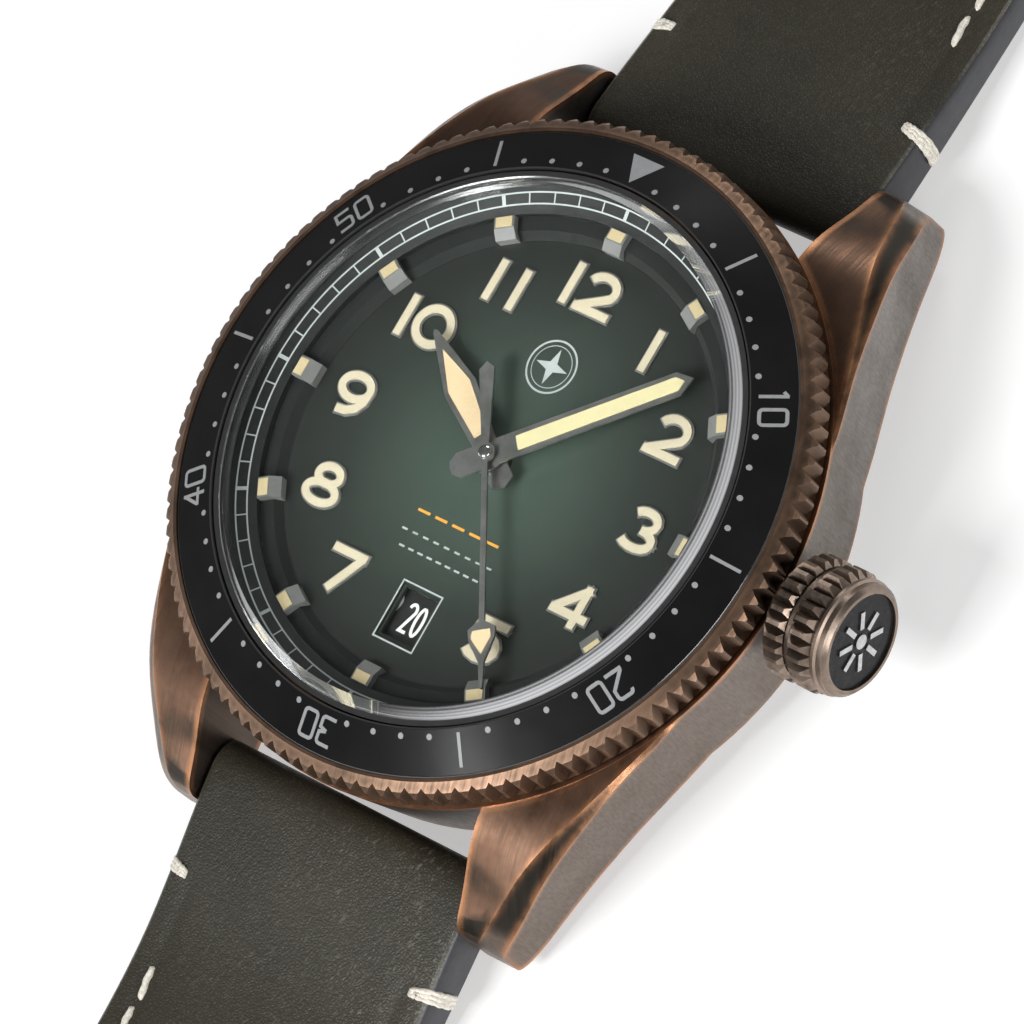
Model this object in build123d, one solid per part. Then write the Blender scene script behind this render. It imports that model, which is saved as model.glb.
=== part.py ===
from build123d import *
import math
import os

os.makedirs("parts", exist_ok=True)

# Frame: origin at the centre of the case back's outer face, +Z out of the dial,
# +Y towards 12 o'clock, +X along the crown. All sizes in mm.

# ---- case ----
CASE_R = 21.0
CASE_TOP = 9.55
CASE_LOW_R = 19.9
CASE_LOW_Z = 2.7
BACK_R = 17.2
BACK_SEAT_Z = 2.55
CAVITY_R = 14.6
DIAL_SEAT_R = 15.4
DIAL_SEAT_Z = 8.7
FLANGE_SEAT_R = 16.9
FLANGE_SEAT_Z = 9.62
NECK_BORE_R = 17.1
NECK_R = 17.85
NECK_TOP = 11.75
CRYSTAL_SEAT_Z = 11.5
LUG_GAP = 10.5
# lug sections: y, top z, bevel's top (x, z), flank's top (x, z), flank's foot (x, z)
LUG_SECTIONS = (
    (7, 9.5, (19.54, 9.5), (19.71, 9.35), (18.47, 2.7)),
    (9.5, 9.5, (18.72, 9.5), (18.89, 9.33), (17.67, 2.69)),
    (12, 9.5, (17.92, 9.49), (18.14, 9.26), (16.87, 2.55)),
    (14.5, 9.5, (17.0, 9.43), (17.35, 9.04), (15.88, 2.14)),
    (17, 9.46, (15.91, 9.16), (16.59, 8.57), (15.1, 1.87)),
    (19.5, 8.83, (14.74, 8.56), (15.66, 7.67), (14.35, 1.49)),
    (21.5, 7.52, (13.75, 7.45), (14.82, 6.41), (13.78, 1.11)),
    (23.3, 6.27, (12.87, 6.18), (14.02, 5.1), (13.35, 0.95)),
    (24.7, 4.6, (11.6, 4.3), (12.84, 2.87), (12.9, 1.3)),
)

# ---- spring bars and straps ----
BAR_Y = 22.2
BAR_Z = 3.75
BAR_R = 0.75
BAR_PIN_R = 0.45
BAR_HOLE_R = 0.5
BAR_HOLE_DEPTH = 1.5
STRAP_END_R = 1.7
STRAP_HALF_W = 10.35
STRAP_TAPER = 0.018
STRAP_THIN = 2.6
STRAP_12_LEN = 75.0
STRAP_6_LEN = 115.0
KEEPER_LIFT = 1.1
HOLE_R = 1.1
HOLE_COUNT = 7
HOLE_PITCH = 6.5
HOLE_FIRST = 52.0

# ---- crystal ----
CRYSTAL_R = 16.75
CRYSTAL_TOP = 13.5
CRYSTAL_CHAMFER = 0.6
DOME_RISE = 0.25

# ---- bezel ----
BEZEL_R = 21.0
BEZEL_FOOT_R = 20.79
BEZEL_FOOT_Z = 9.62
BEZEL_BORE_R = 17.95
BEZEL_TEETH = 120
BEZEL_NOTCH = 0.5
BEZEL_LAND = 0.12
INSERT_BEVEL = 0.12
INSERT_IN = (17.22, 12.76)
INSERT_OUT = (19.95, 11.78)
INSERT_T = 0.7
MARK_T = 0.04

# ---- dial ----
DIAL_R = 15.3
DIAL_Z = 8.7
DIAL_TOP = 9.1
DIAL_STEP_R = (13.7, 14.15)
DIAL_RING_Z = 9.6
DATE_Y = -10.2
DATE_HALF = (1.2, 1.5)
DATE_STEP = (1.38, 1.7, 0.13)
BLOCK_R = (13.6, 14.25, 15.0)
BLOCK_TOP = 10.1
BLOCK_W = 1.3
NUMERAL_R = 11.0
NUMERAL_H = 2.95
NUMERAL_STROKE = 0.72
NUMERAL_EDGE = 0.22
# where each digit of a two-digit hour sits about the number's own centre
NUMERAL_PLACES = {
    10: ((-1.0, 0.0), (1.06, 0.0)),
    11: ((-0.87, 0.0), (0.92, 0.0)),
    12: ((-1.6, 0.23), (0.45, 0.23)),
}

# ---- hands (angles clockwise from 12 o'clock) ----
HOUR_ANGLE = 303.9
MINUTE_ANGLE = 46.8
SECONDS_ANGLE = 147.6
HOUR_LEN = 9.5
MINUTE_LEN = 13.15
SECONDS_LEN = 14.5
HOUR_Z = 9.75
MINUTE_Z = 10.1
SECONDS_Z = 10.45
HAND_T = 0.15

# ---- crown ----
STEM_Z = 7.6
CROWN_IN = 21.4
CROWN_END = 26.0
CROWN_R = 3.75
CROWN_TEETH = 28
CROWN_CORE_R = 3.3
CROWN_LAND = 0.3
TUBE_R = 1.55
TUBE_IN = 15.45
STEM_R = 0.5

# ---- movement ----
MOVEMENT_R = 12.8
PLATE_Z = (7.1, 8.0)
BRIDGE_Z = (4.5, 5.0)
ROTOR_Z = (3.2, 3.5)
CENTRE_TRAIN = 4.5
CENTRE = (0.0, 0.0)
BARREL_AT = (2.472, 5.302)
THIRD_AT = (-4.43, -0.78)
ESCAPE_AT = (-0.38, -4.38)
FORK_AT = (1.89, -5.64)
BALANCE_AT = (4.56, -7.13)
CROWN_WHEEL_AT = (7.4, 0.0)
MINUTE_WHEEL_AT = (0.0, 2.4)

PARTS = {}


def keep(name, shape):
    PARTS[name] = shape


def disc(r, z0, z1, x=0.0, y=0.0):
    return Pos(x, y, z0) * extrude(Circle(r), z1 - z0)


def ring(r_in, r_out, z0, z1, x=0.0, y=0.0):
    return Pos(x, y, z0) * extrude(Circle(r_out) - Circle(r_in), z1 - z0)


def block(x0, x1, y0, y1, z0, z1):
    return Pos((x0 + x1) / 2, (y0 + y1) / 2, (z0 + z1) / 2) * Box(x1 - x0, y1 - y0, z1 - z0)


def lathe(*points):
    return revolve(Plane.XZ * make_face(Polyline(*points, close=True)), Axis.Z)


def lathe_x(*points):
    """Solid of revolution about the crown's axis from (x, r) points."""
    shape = revolve(Plane.XY * make_face(Polyline(*points, close=True)), Axis.X)
    return Pos(0, 0, STEM_Z) * shape


def polar(r, degrees):
    return r * math.cos(math.radians(degrees)), r * math.sin(math.radians(degrees))


def clock(r, degrees):
    """Point at radius r, turned clockwise from 12 o'clock."""
    return r * math.sin(math.radians(degrees)), r * math.cos(math.radians(degrees))


def outline(points, z0, z1):
    return Pos(0, 0, z0) * extrude(make_face(Polyline(*points, close=True)), z1 - z0)


# ======================= case =======================
def lug(side_y):
    faces = []
    for y, top, (x1, z1), (x2, z2), (x3, z3) in LUG_SECTIONS:
        points = ((LUG_GAP, top), (x1, z1), (x2, z2), (x3, z3), (LUG_GAP, z3))
        faces.append(make_face(Polyline(*[(x, y, z) for x, z in points], close=True)))
    shape = loft(faces)
    if side_y < 0:
        shape = mirror(shape, Plane.XZ)
    return shape


def lug_pair(side_y):
    right = lug(side_y)
    return right + mirror(right, Plane.YZ)


def bar_holes():
    holes = []
    for y in (BAR_Y, -BAR_Y):
        half = LUG_GAP + BAR_HOLE_DEPTH
        hole = Pos(0, y, BAR_Z) * Rot(0, 90, 0) * Cylinder(BAR_HOLE_R, 2 * half)
        holes.append(hole - block(-LUG_GAP, LUG_GAP, y - 1, y + 1, BAR_Z - 1, BAR_Z + 1))
    return holes[0] + holes[1]


def case_middle():
    body = lathe(
        (12.0, 1.25), (17.75, 1.25), (18.7, 1.6), (CASE_LOW_R, CASE_LOW_Z),
        (CASE_R, CASE_TOP), (NECK_R, CASE_TOP), (NECK_R, NECK_TOP), (12.0, NECK_TOP),
    )
    recess = disc(BEZEL_R + 0.12, CASE_TOP, CASE_TOP + 2)
    body = body + (lug_pair(1) + lug_pair(-1) - recess)
    cavity = lathe(
        (0, 0), (BACK_R + 0.05, 0), (BACK_R + 0.05, BACK_SEAT_Z), (CAVITY_R, BACK_SEAT_Z),
        (CAVITY_R, DIAL_SEAT_Z), (DIAL_SEAT_R, DIAL_SEAT_Z), (DIAL_SEAT_R, FLANGE_SEAT_Z),
        (FLANGE_SEAT_R, FLANGE_SEAT_Z), (FLANGE_SEAT_R, CRYSTAL_SEAT_Z),
        (NECK_BORE_R, CRYSTAL_SEAT_Z), (NECK_BORE_R, NECK_TOP + 1), (0, NECK_TOP + 1),
    )
    groove = ring(16.2, 17.0, BACK_SEAT_Z - 0.1, BACK_SEAT_Z + 0.45)
    spring_groove = ring(18.7, 19.7, CASE_TOP - 0.4, CASE_TOP + 0.1)
    crown_bore = lathe_x((12.0, 0), (24.0, 0), (24.0, TUBE_R), (12.0, TUBE_R))
    return body - cavity - groove - spring_groove - crown_bore - bar_holes()


def case_back():
    cup = lathe(
        (0, 0), (16.2, 0), (BACK_R, 0.7), (BACK_R, BACK_SEAT_Z - 0.02), (15.8, BACK_SEAT_Z - 0.02),
        (15.8, 1.3), (0, 1.3),
    )
    slot = Box(2.6, 2.2, 0.9)
    notches = [Rot(0, 0, 60 * i + 30) * Pos(16.0, 0, 0) * slot for i in range(6)]
    rings = ring(13.2, 13.5, -0.1, 0.12) + ring(6.0, 6.3, -0.1, 0.12)
    return cup - notches - rings


# ======================= crystal and flange =======================
def crystal():
    rim = CRYSTAL_R - CRYSTAL_CHAMFER
    shoulder = CRYSTAL_TOP - DOME_RISE - CRYSTAL_CHAMFER
    blank = lathe(
        (0, CRYSTAL_SEAT_Z), (CRYSTAL_R, CRYSTAL_SEAT_Z), (CRYSTAL_R, shoulder),
        (rim, shoulder + CRYSTAL_CHAMFER), (rim, CRYSTAL_TOP + 0.1), (0, CRYSTAL_TOP + 0.1),
    )
    dome_r = (rim ** 2 + DOME_RISE ** 2) / (2 * DOME_RISE)
    return blank & Pos(0, 0, CRYSTAL_TOP - dome_r) * Sphere(dome_r)


def flange_ring():
    outer = FLANGE_SEAT_R - 0.02
    top = CRYSTAL_SEAT_Z - 0.02
    base = FLANGE_SEAT_Z + 0.01
    return lathe((15.03, base), (outer, base), (outer, top), (16.72, top), (16.72, 10.55), (15.03, 10.05))


# ======================= bezel =======================
def toothed(r_tip, r_root, teeth, land):
    """Ring of V notches; land is the share of the pitch left flat at the tips."""
    points = []
    for i in range(teeth):
        points.append(polar(r_tip, (i - land / 2) * 360 / teeth))
        points.append(polar(r_tip, (i + land / 2) * 360 / teeth))
        points.append(polar(r_root, (i + 0.5) * 360 / teeth))
    return points


def bezel_ring():
    seat_in = cone_z(BEZEL_BORE_R) - INSERT_T
    seat_out = cone_z(INSERT_OUT[0] + 0.02) - INSERT_T
    lip = INSERT_OUT[0] + 0.02
    body = lathe(
        (BEZEL_BORE_R, BEZEL_FOOT_Z), (BEZEL_FOOT_R - 0.3, BEZEL_FOOT_Z),
        (BEZEL_FOOT_R, BEZEL_FOOT_Z + 0.15),
        (BEZEL_R, 10.1), (BEZEL_R, 11.15), (20.75, 11.5), (lip + 0.2, 11.83), (lip, 11.83), (lip, seat_out),
        (BEZEL_BORE_R, seat_in),
    )
    knurl = outline(toothed(BEZEL_R + 0.01, BEZEL_R - BEZEL_NOTCH, BEZEL_TEETH, BEZEL_LAND), 9.9, 12.0)
    band = ring(BEZEL_R - 0.8, BEZEL_R + 1.0, 9.9, 12.0)
    return body - (band - knurl)


def cone_z(r):
    """Height of the insert's sloped top face at radius r."""
    (r0, z0), (r1, z1) = INSERT_IN, INSERT_OUT
    return z0 + (z1 - z0) * (r - r0) / (r1 - r0)


def cone_shell(low, high, r_in=INSERT_IN[0], r_out=INSERT_OUT[0]):
    return lathe(
        (r_in, cone_z(r_in) + low), (r_out, cone_z(r_out) + low),
        (r_out, cone_z(r_out) + high), (r_in, cone_z(r_in) + high),
    )


def bezel_insert():
    (r0, _), (r1, _) = INSERT_IN, INSERT_OUT
    b = INSERT_BEVEL
    return lathe(
        (r0, cone_z(r0) - INSERT_T), (r1, cone_z(r1) - INSERT_T), (r1, cone_z(r1) - b),
        (r1 - b, cone_z(r1 - b)), (r0 + b, cone_z(r0 + b)), (r0, cone_z(r0) - 0.06),
    )


def arc(cx, cy, rx, ry, start, end, steps=10):
    return [
        (cx + rx * math.cos(math.radians(start + (end - start) * i / steps)),
         cy + ry * math.sin(math.radians(start + (end - start) * i / steps)))
        for i in range(steps + 1)
    ]


def round_digit(char):
    """Bold wide digit in a box one high: centre lines, and loops as (x, y, x radius, y radius)."""
    loops = {
        "0": [(0, 0, 0.395, 0.38)],
        "8": [(0, 0.2, 0.265, 0.182), (0, -0.175, 0.365, 0.205)],
        "9": [(0, 0.135, 0.35, 0.245)],
    }
    lines = {
        "1": [[(0, 0.465), (0, -0.465)]],
        "2": [arc(0, 0.135, 0.33, 0.245, 165, -35) + [(-0.36, -0.37)], [(-0.46, -0.378), (0.46, -0.378)]],
        "3": [arc(-0.03, 0.187, 0.3, 0.193, 150, -90), arc(-0.03, -0.187, 0.37, 0.193, 90, -150)],
        "4": [[(0.17, -0.465), (0.17, 0.465)], [(0.24, 0.42), (-0.4, -0.19)],
              [(-0.48, -0.2), (0.46, -0.2)]],
        "5": [[(0.4, 0.38), (-0.32, 0.38)], [(-0.26, 0.44), (-0.31, 0.0)],
              arc(-0.02, -0.13, 0.36, 0.25, 130, -150)],
        "7": [[(-0.44, 0.38), (0.44, 0.38)], [(0.36, 0.4), (-0.12, -0.465)]],
        "9": [[(0.345, 0.1), (0.33, -0.08), (0.22, -0.26), (0.03, -0.37), (-0.22, -0.4)]],
    }
    return lines.get(char, []), loops.get(char, [])


def square_digit(char):
    """Centre lines of a narrow, round-cornered digit in a box one high."""
    w, h, c = 0.27, 0.43, 0.12
    right = arc(w - c, h - c, c, c, 90, 0, 4)
    foot = arc(w - c, c - h, c, c, 0, -90, 4)
    left = arc(c - w, c - h, c, c, -90, -180, 4) + arc(c - w, h - c, c, c, 180, 90, 4)
    lines = {
        "0": [right + foot, [foot[-1]] + left + [right[0]]],
        "1": [[(-0.12, 0.3), (0.04, 0.43)], [(0.04, 0.47), (0.04, -0.47)]],
        "2": [[(-w, 0.3)] + arc(c - w, h - c, c, c, 180, 90, 4) + right + [(w, 0.1), (-w, -0.38)],
              [(-w - 0.05, -h), (w + 0.05, -h)]],
        "3": [[(-w, h)] + right + [(w, 0.08), (0.0, 0.0)], [(0.0, 0.0), (w, -0.08)] + foot + [(-w, -h)]],
        "4": [[(0.12, -0.47), (0.12, 0.47)], [(0.14, h), (-w, -0.18)],
              [(-w - 0.03, -0.18), (w + 0.06, -0.18)]],
        "5": [[(w, h), (-w, h), (-w, 0.05), (0.15, 0.05)]
              + arc(w - c, 0.05 - c, c, c, 90, 0, 4) + foot + [(-w, -h)]],
    }
    return lines[char], []


def longer(point, beside, extra):
    """The end point of a line, moved on by extra away from the point beside it."""
    dx, dy = point[0] - beside[0], point[1] - beside[1]
    reach = extra / math.hypot(dx, dy)
    return point[0] + dx * reach, point[1] + dy * reach


def stroke(points, width, extra=0.0):
    first = longer(points[0], points[1], extra)
    last = longer(points[-1], points[-2], extra)
    points = [first] + list(points[1:-1]) + [last]
    return trace([Line(a, b) for a, b in zip(points, points[1:])], width)


def number(text, digit, height, width, places, extra=0.0):
    """Sketch of a number from stroked digits, each at its own place."""
    sketch = Sketch()
    for char, (px, py) in zip(text, places):
        lines, loops = digit(char)
        for x, y, rx, ry in loops:
            rx, ry = height * rx, height * ry
            band = Ellipse(rx + width / 2, ry + width / 2) - Ellipse(rx - width / 2, ry - width / 2)
            sketch += Pos(height * x + px, height * y + py) * band
        for line in lines:
            sketch += stroke([(height * x + px, height * y + py) for x, y in line], width, extra)
    return sketch


def bezel_markers():
    marks = Sketch()
    for minute in range(60):
        turn = Rot(0, 0, -6 * minute)
        if minute % 10 == 5:
            marks += turn * Pos(0, 18.53) * Rectangle(0.2, 1.87)
        elif minute == 0:
            marks += turn * make_face(Polyline((0, 17.55), (1.15, 19.35), (-1.15, 19.35), close=True))
        elif minute % 10 == 0:
            digits = number(str(minute), square_digit, 1.75, 0.2, ((-0.675, 0), (0.675, 0)))
            marks += turn * Pos(0, 18.55) * digits
        elif minute % 5:
            marks += turn * Pos(0, 17.74) * Circle(0.17)
    prism = Pos(0, 0, 11) * extrude(marks, 3)
    return prism & cone_shell(0, MARK_T)


def click_spring():
    strip = ring(18.95, 19.45, CASE_TOP - 0.3, CASE_TOP - 0.15)
    gap = block(0, 22, -2.2, 2.2, 8, 10)
    pads = [Rot(0, 0, a) * Pos(19.2, 0, CASE_TOP - 0.08) * Box(0.4, 1.4, 0.2) for a in (60, 180, 300)]
    return strip - gap + pads


# ======================= dial =======================
def dial_plate():
    body = lathe(
        (1.0, DIAL_Z), (DIAL_R, DIAL_Z), (DIAL_R, DIAL_RING_Z), (DIAL_STEP_R[1], DIAL_RING_Z),
        (DIAL_STEP_R[0], DIAL_TOP), (1.0, DIAL_TOP),
    )
    half_x, half_y = DATE_HALF
    window = block(-half_x, half_x, DATE_Y - half_y, DATE_Y + half_y, DIAL_Z - 1, DIAL_TOP + 1)
    step_x, step_y, deep = DATE_STEP
    step = block(-step_x, step_x, DATE_Y - step_y, DATE_Y + step_y, DIAL_TOP - deep, DIAL_TOP + 1)
    return body - window - step


def hour_block():
    profile = make_face(Polyline(
        (13.62, DIAL_TOP + 0.02), (14.08, DIAL_RING_Z + 0.01), (BLOCK_R[2], DIAL_RING_Z + 0.01),
        (BLOCK_R[2], BLOCK_TOP), (BLOCK_R[1], BLOCK_TOP), (BLOCK_R[0], BLOCK_TOP - 0.35),
        (BLOCK_R[0], DIAL_TOP + 0.02), close=True,
    ))
    return Pos(0, BLOCK_W / 2, 0) * extrude(Plane.XZ * profile, BLOCK_W)


def around_hours(shape):
    return Compound(children=[Rot(0, 0, 30 * i) * shape for i in range(12)])


def numerals(width, extra):
    sketch = Sketch()
    for hour in (1, 2, 3, 4, 5, 7, 8, 9, 10, 11, 12):
        x, y = clock(NUMERAL_R, 30 * hour)
        places = NUMERAL_PLACES.get(hour, ((0.0, 0.0),))
        sketch += Pos(x, y) * number(str(hour), round_digit, NUMERAL_H, width, places, extra)
    return sketch


def date_disc():
    body = ring(8.7, 12.1, 8.25, 8.5)
    teeth = [Rot(0, 0, 360 * (i + 0.5) / 31) * Pos(8.6, 0, 8.375) * Box(0.5, 0.35, 0.25) for i in range(31)]
    return body + teeth


# ======================= hands =======================
def hand(points, tube_r, bore_r, angle, z, tube_z):
    """Flat hand from half-outline points (half width, distance), with its centre tube."""
    right = [(w, y) for w, y in points]
    left = [(-w, y) for w, y in reversed(points) if w > 0]
    plate = outline(right + left, z, z + HAND_T)
    hub = disc(tube_r, tube_z, z + HAND_T)
    shape = plate + hub
    if bore_r:
        shape = shape - disc(bore_r, tube_z - 1, z + HAND_T + 1)
    return Rot(0, 0, -angle) * shape


def lume(points, angle, z):
    right = [(w, y) for w, y in points]
    left = [(-w, y) for w, y in reversed(points) if w > 0]
    return Rot(0, 0, -angle) * outline(right + left, z + HAND_T, z + HAND_T + 0.05)


def hour_hand():
    tip = HOUR_LEN
    points = ((0.0, -2.3), (0.75, -1.9), (0.75, 1.2), (1.05, 5.15), (0.15, tip - 0.15), (0.0, tip))
    return hand(points, 1.1, 0.72, HOUR_ANGLE, HOUR_Z, HOUR_Z)


def minute_hand():
    points = ((0.0, -2.45), (0.4, -2.4), (0.8, -1.9), (0.8, 1.0), (0.74, 12.2), (0.0, MINUTE_LEN))
    return hand(points, 1.0, 0.42, MINUTE_ANGLE, MINUTE_Z, MINUTE_Z)


def seconds_hand():
    points = (
        (0.0, -5.7), (0.48, -5.25), (0.46, -4.7), (0.24, -0.6), (0.18, 0.6), (0.18, 10.4),
        (0.88, 10.85), (0.82, 11.5), (0.18, 12.95), (0.11, SECONDS_LEN), (0.0, SECONDS_LEN + 0.05),
    )
    return hand(points, 0.6, 0.0, SECONDS_ANGLE, SECONDS_Z, SECONDS_Z)


# ======================= movement =======================
def gear(teeth, module, z0, z1, at, phase=0.0):
    pitch = teeth * module / 2
    points = []
    for i in range(teeth):
        for r, off in ((pitch - 1.15 * module, -0.3), (pitch + 0.85 * module, -0.13),
                       (pitch + 0.85 * module, 0.13), (pitch - 1.15 * module, 0.3)):
            points.append(polar(r, phase + 360 * (i + off) / teeth))
    return Pos(at[0], at[1], 0) * outline(points, z0, z1)


def facing(here, there):
    """Phase that puts a tooth on the line to the meshing wheel."""
    return math.degrees(math.atan2(there[1] - here[1], there[0] - here[0]))


def between(here, there, teeth):
    """Phase that puts a gap on the line to the meshing wheel."""
    return facing(here, there) + 180 / teeth


def windows(r_in, r_out, z0, z1, at, arms=5):
    bars = [Rot(0, 0, 360 * i / arms) * Pos(r_out / 2, 0, (z0 + z1) / 2) * Box(r_out, 0.35, z1 - z0 + 1)
            for i in range(arms)]
    return Pos(at[0], at[1], 0) * (ring(r_in, r_out, z0 - 0.1, z1 + 0.1) - bars)


def wheel(teeth, module, z0, z1, at, phase=0.0):
    rim = teeth * module / 2 - 0.55
    return gear(teeth, module, z0, z1, at, phase) - windows(0.75, rim, z0, z1, at)


def plate_holes():
    """Openings in the main plate for arbors, motion work and the stem."""
    cuts = disc(0.9, 6, 9) + disc(0.25, 6, 9, *BARREL_AT)
    cuts += block(6.0, 13.0, -0.7, 0.7, 6.9, 8.3)
    cuts += block(8.2, 10.6, -1.0, 1.0, 6.9, 8.3)
    return cuts


def main_plate():
    step = ring(MOVEMENT_R - 0.6, MOVEMENT_R + 0.5, PLATE_Z[0] - 0.1, PLATE_Z[0] + 0.25)
    return disc(MOVEMENT_R, *PLATE_Z) - step - plate_holes()


def pillars(points, r, z0, z1):
    shapes = [disc(r, z0, z1, *polar(*p)) for p in points]
    return shapes


def barrel_bridge():
    plate = disc(MOVEMENT_R, *BRIDGE_Z) & block(-9.0, 13, 1.6, 13, 4, 6)
    feet = pillars(((12.0, 22), (12.0, 105), (12.0, 130)), 0.7, BRIDGE_Z[1], PLATE_Z[0])
    holes = disc(0.95, 4, 6, *BARREL_AT) + disc(0.45, 4, 6, *CROWN_WHEEL_AT)
    return plate + feet - holes


def train_bridge():
    plate = disc(MOVEMENT_R, *BRIDGE_Z) & block(-13, 1.2, -13, 1.4, 4, 6)
    feet = pillars(((12.0, 178), (12.0, 205), (12.0, 262)), 0.7, BRIDGE_Z[1], PLATE_Z[0])
    return plate + feet


def rotor_post():
    return disc(0.95, ROTOR_Z[1] + 0.02, BRIDGE_Z[0] - 0.01) + disc(0.5, ROTOR_Z[0], ROTOR_Z[1] + 0.1)


def balance_cock():
    plate = disc(MOVEMENT_R, *BRIDGE_Z) & block(1.6, 13, -13, 1.2, 4, 6)
    arm = outline(((3.2, -5.2), (6.5, -5.6), (12.5, -1.0), (10.0, 1.0)), 4, 6)
    plate = plate & (disc(2.6, 4, 6, *BALANCE_AT) + arm)
    foot = disc(0.8, BRIDGE_Z[1], PLATE_Z[0], *polar(12.0, -10))
    return plate + foot - disc(0.5, 4, 6, *CROWN_WHEEL_AT) - disc(3.0, 4, 4.49, *CROWN_WHEEL_AT)


def movement_screws():
    spots = ((12.0, 22), (12.0, 105), (12.0, 130), (12.0, 178), (12.0, 205), (12.0, 262))
    heads = []
    for spot in spots:
        x, y = polar(*spot)
        head = disc(0.55, BRIDGE_Z[0] - 0.3, BRIDGE_Z[0], x, y)
        heads.append(head - block(x - 1, x + 1, y - 0.08, y + 0.08, 4, BRIDGE_Z[0] - 0.15))
    return Compound(children=heads)


def rotor():
    heavy = (ring(10.3, 12.6, ROTOR_Z[0], 4.05) + disc(12.6, ROTOR_Z[0], ROTOR_Z[1]))
    half = heavy & block(-13, 13, -13, 0, 3, 5)
    cuts = ring(4.2, 9.3, 3, 5) & (block(1.2, 13, -13, -1.4, 3, 5) + block(-13, -1.2, -13, -1.4, 3, 5))
    return half - cuts + disc(2.3, *ROTOR_Z) - disc(0.56, 3, 4)


def hairspring():
    steps = 160
    turns = 6
    centre = [
        polar(0.55 + 1.75 * i / steps, 360 * turns * i / steps) for i in range(steps + 1)
    ]
    coil = stroke_spline(centre, 0.06)
    return Pos(BALANCE_AT[0], BALANCE_AT[1], 5.08) * extrude(coil, 0.14)


def stroke_spline(centre, width):
    """Band of constant width along a spiral of points about the origin."""
    inner, outer = [], []
    for x, y in centre:
        share = width / 2 / math.hypot(x, y)
        inner.append((x * (1 - share), y * (1 - share)))
        outer.append((x * (1 + share), y * (1 + share)))
    a, b = Spline(*inner), Spline(*outer)
    return make_face([a, b, Line(inner[0], outer[0]), Line(inner[-1], outer[-1])])


def mainspring():
    steps = 200
    centre = [polar(1.3 + 3.1 * i / steps, 360 * 9 * i / steps) for i in range(steps + 1)]
    return Pos(BARREL_AT[0], BARREL_AT[1], 5.95) * extrude(stroke_spline(centre, 0.14), 0.55)


def barrel_drum():
    x, y = BARREL_AT
    cup = disc(4.75, 5.75, 6.95, x, y) - disc(4.6, 5.9, 6.6, x, y) - disc(0.62, 5, 8, x, y)
    return cup + (gear(78, 0.13, 6.65, 6.95, BARREL_AT, facing(BARREL_AT, CENTRE)) - disc(4.7, 6, 8, x, y))


def barrel_arbor():
    x, y = BARREL_AT
    return disc(0.55, 4.47, 7.07, x, y) + disc(1.1, 5.95, 6.5, x, y)


def centre_wheel():
    parts = wheel(80, 0.1, 5.45, 5.6, CENTRE, facing(CENTRE, THIRD_AT)) + disc(0.45, 5.45, 7.05)
    parts = parts + gear(12, 0.13, 6.6, 6.98, CENTRE, between(CENTRE, BARREL_AT, 12))
    return parts - disc(0.3, 5, 8)


def third_wheel():
    x, y = THIRD_AT
    pinion = gear(10, 0.1, 5.42, 5.75, THIRD_AT, between(THIRD_AT, CENTRE, 10))
    rim = wheel(75, 0.10588, 5.25, 5.37, THIRD_AT, facing(THIRD_AT, CENTRE))
    return rim + disc(0.15, 5.03, 7.07, x, y) + pinion


def fourth_wheel():
    parts = wheel(84, 0.0967, 5.08, 5.2, CENTRE, facing(CENTRE, ESCAPE_AT))
    parts = parts + gear(10, 0.10588, 5.2, 5.42, CENTRE, between(CENTRE, THIRD_AT, 10))
    return parts + disc(0.25, 5.03, SECONDS_Z)


def escape_wheel():
    x, y = ESCAPE_AT
    points = []
    for i in range(20):
        points.append(polar(1.75, 18 * i))
        points.append(polar(2.1, 18 * i + 9))
        points.append(polar(1.75, 18 * i + 10))
    rim = Pos(x, y, 0) * outline(points, 6.2, 6.35) - windows(0.5, 1.5, 6.2, 6.35, ESCAPE_AT, 4)
    pinion = gear(7, 0.0967, 5.06, 5.24, ESCAPE_AT, between(ESCAPE_AT, CENTRE, 7))
    return rim + disc(0.12, 5.03, 7.07, x, y) + pinion


def pallet_fork():
    x, y = FORK_AT
    angle = math.degrees(math.atan2(BALANCE_AT[1] - y, BALANCE_AT[0] - x))
    lever = block(-0.3, 2.0, -0.13, 0.13, 6.15, 6.3) + block(1.9, 2.35, -0.35, 0.35, 6.15, 6.3)
    lever = lever - block(2.1, 3.0, -0.12, 0.12, 6, 7)
    arms = block(-0.35, 0.05, -1.15, 1.15, 6.15, 6.3)
    return Pos(x, y, 0) * Rot(0, 0, angle) * (lever + arms) + disc(0.12, 5.03, 7.07, x, y)


def balance_wheel():
    x, y = BALANCE_AT
    rim = ring(3.6, 4.05, 5.4, 5.75, x, y)
    arms = block(x - 3.8, x + 3.8, y - 0.2, y + 0.2, 5.5, 5.65)
    arms = arms + block(x - 0.2, x + 0.2, y - 3.8, y + 3.8, 5.5, 5.65)
    staff = disc(0.15, 5.03, 7.07, x, y) + disc(0.6, 5.85, 5.95, x, y) + disc(0.35, 5.3, 5.85, x, y)
    return rim + arms + staff


def winding_pinion():
    star = [polar(0.62 if i % 2 else 0.42, 18 * i) for i in range(20)]
    body = extrude(Plane.YZ * make_face(Polyline(*star, close=True)), 1.2)
    square = Pos(0.6, 0, 0) * Box(2, 0.62, 0.62)
    return Pos(8.6, 0, STEM_Z) * (body - square)


def winding_stem():
    end = CROWN_IN + 1.9
    return lathe_x((6.6, 0), (end, 0), (end, STEM_R), (11.0, STEM_R), (11.0, 0.3), (6.6, 0.3))


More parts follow.
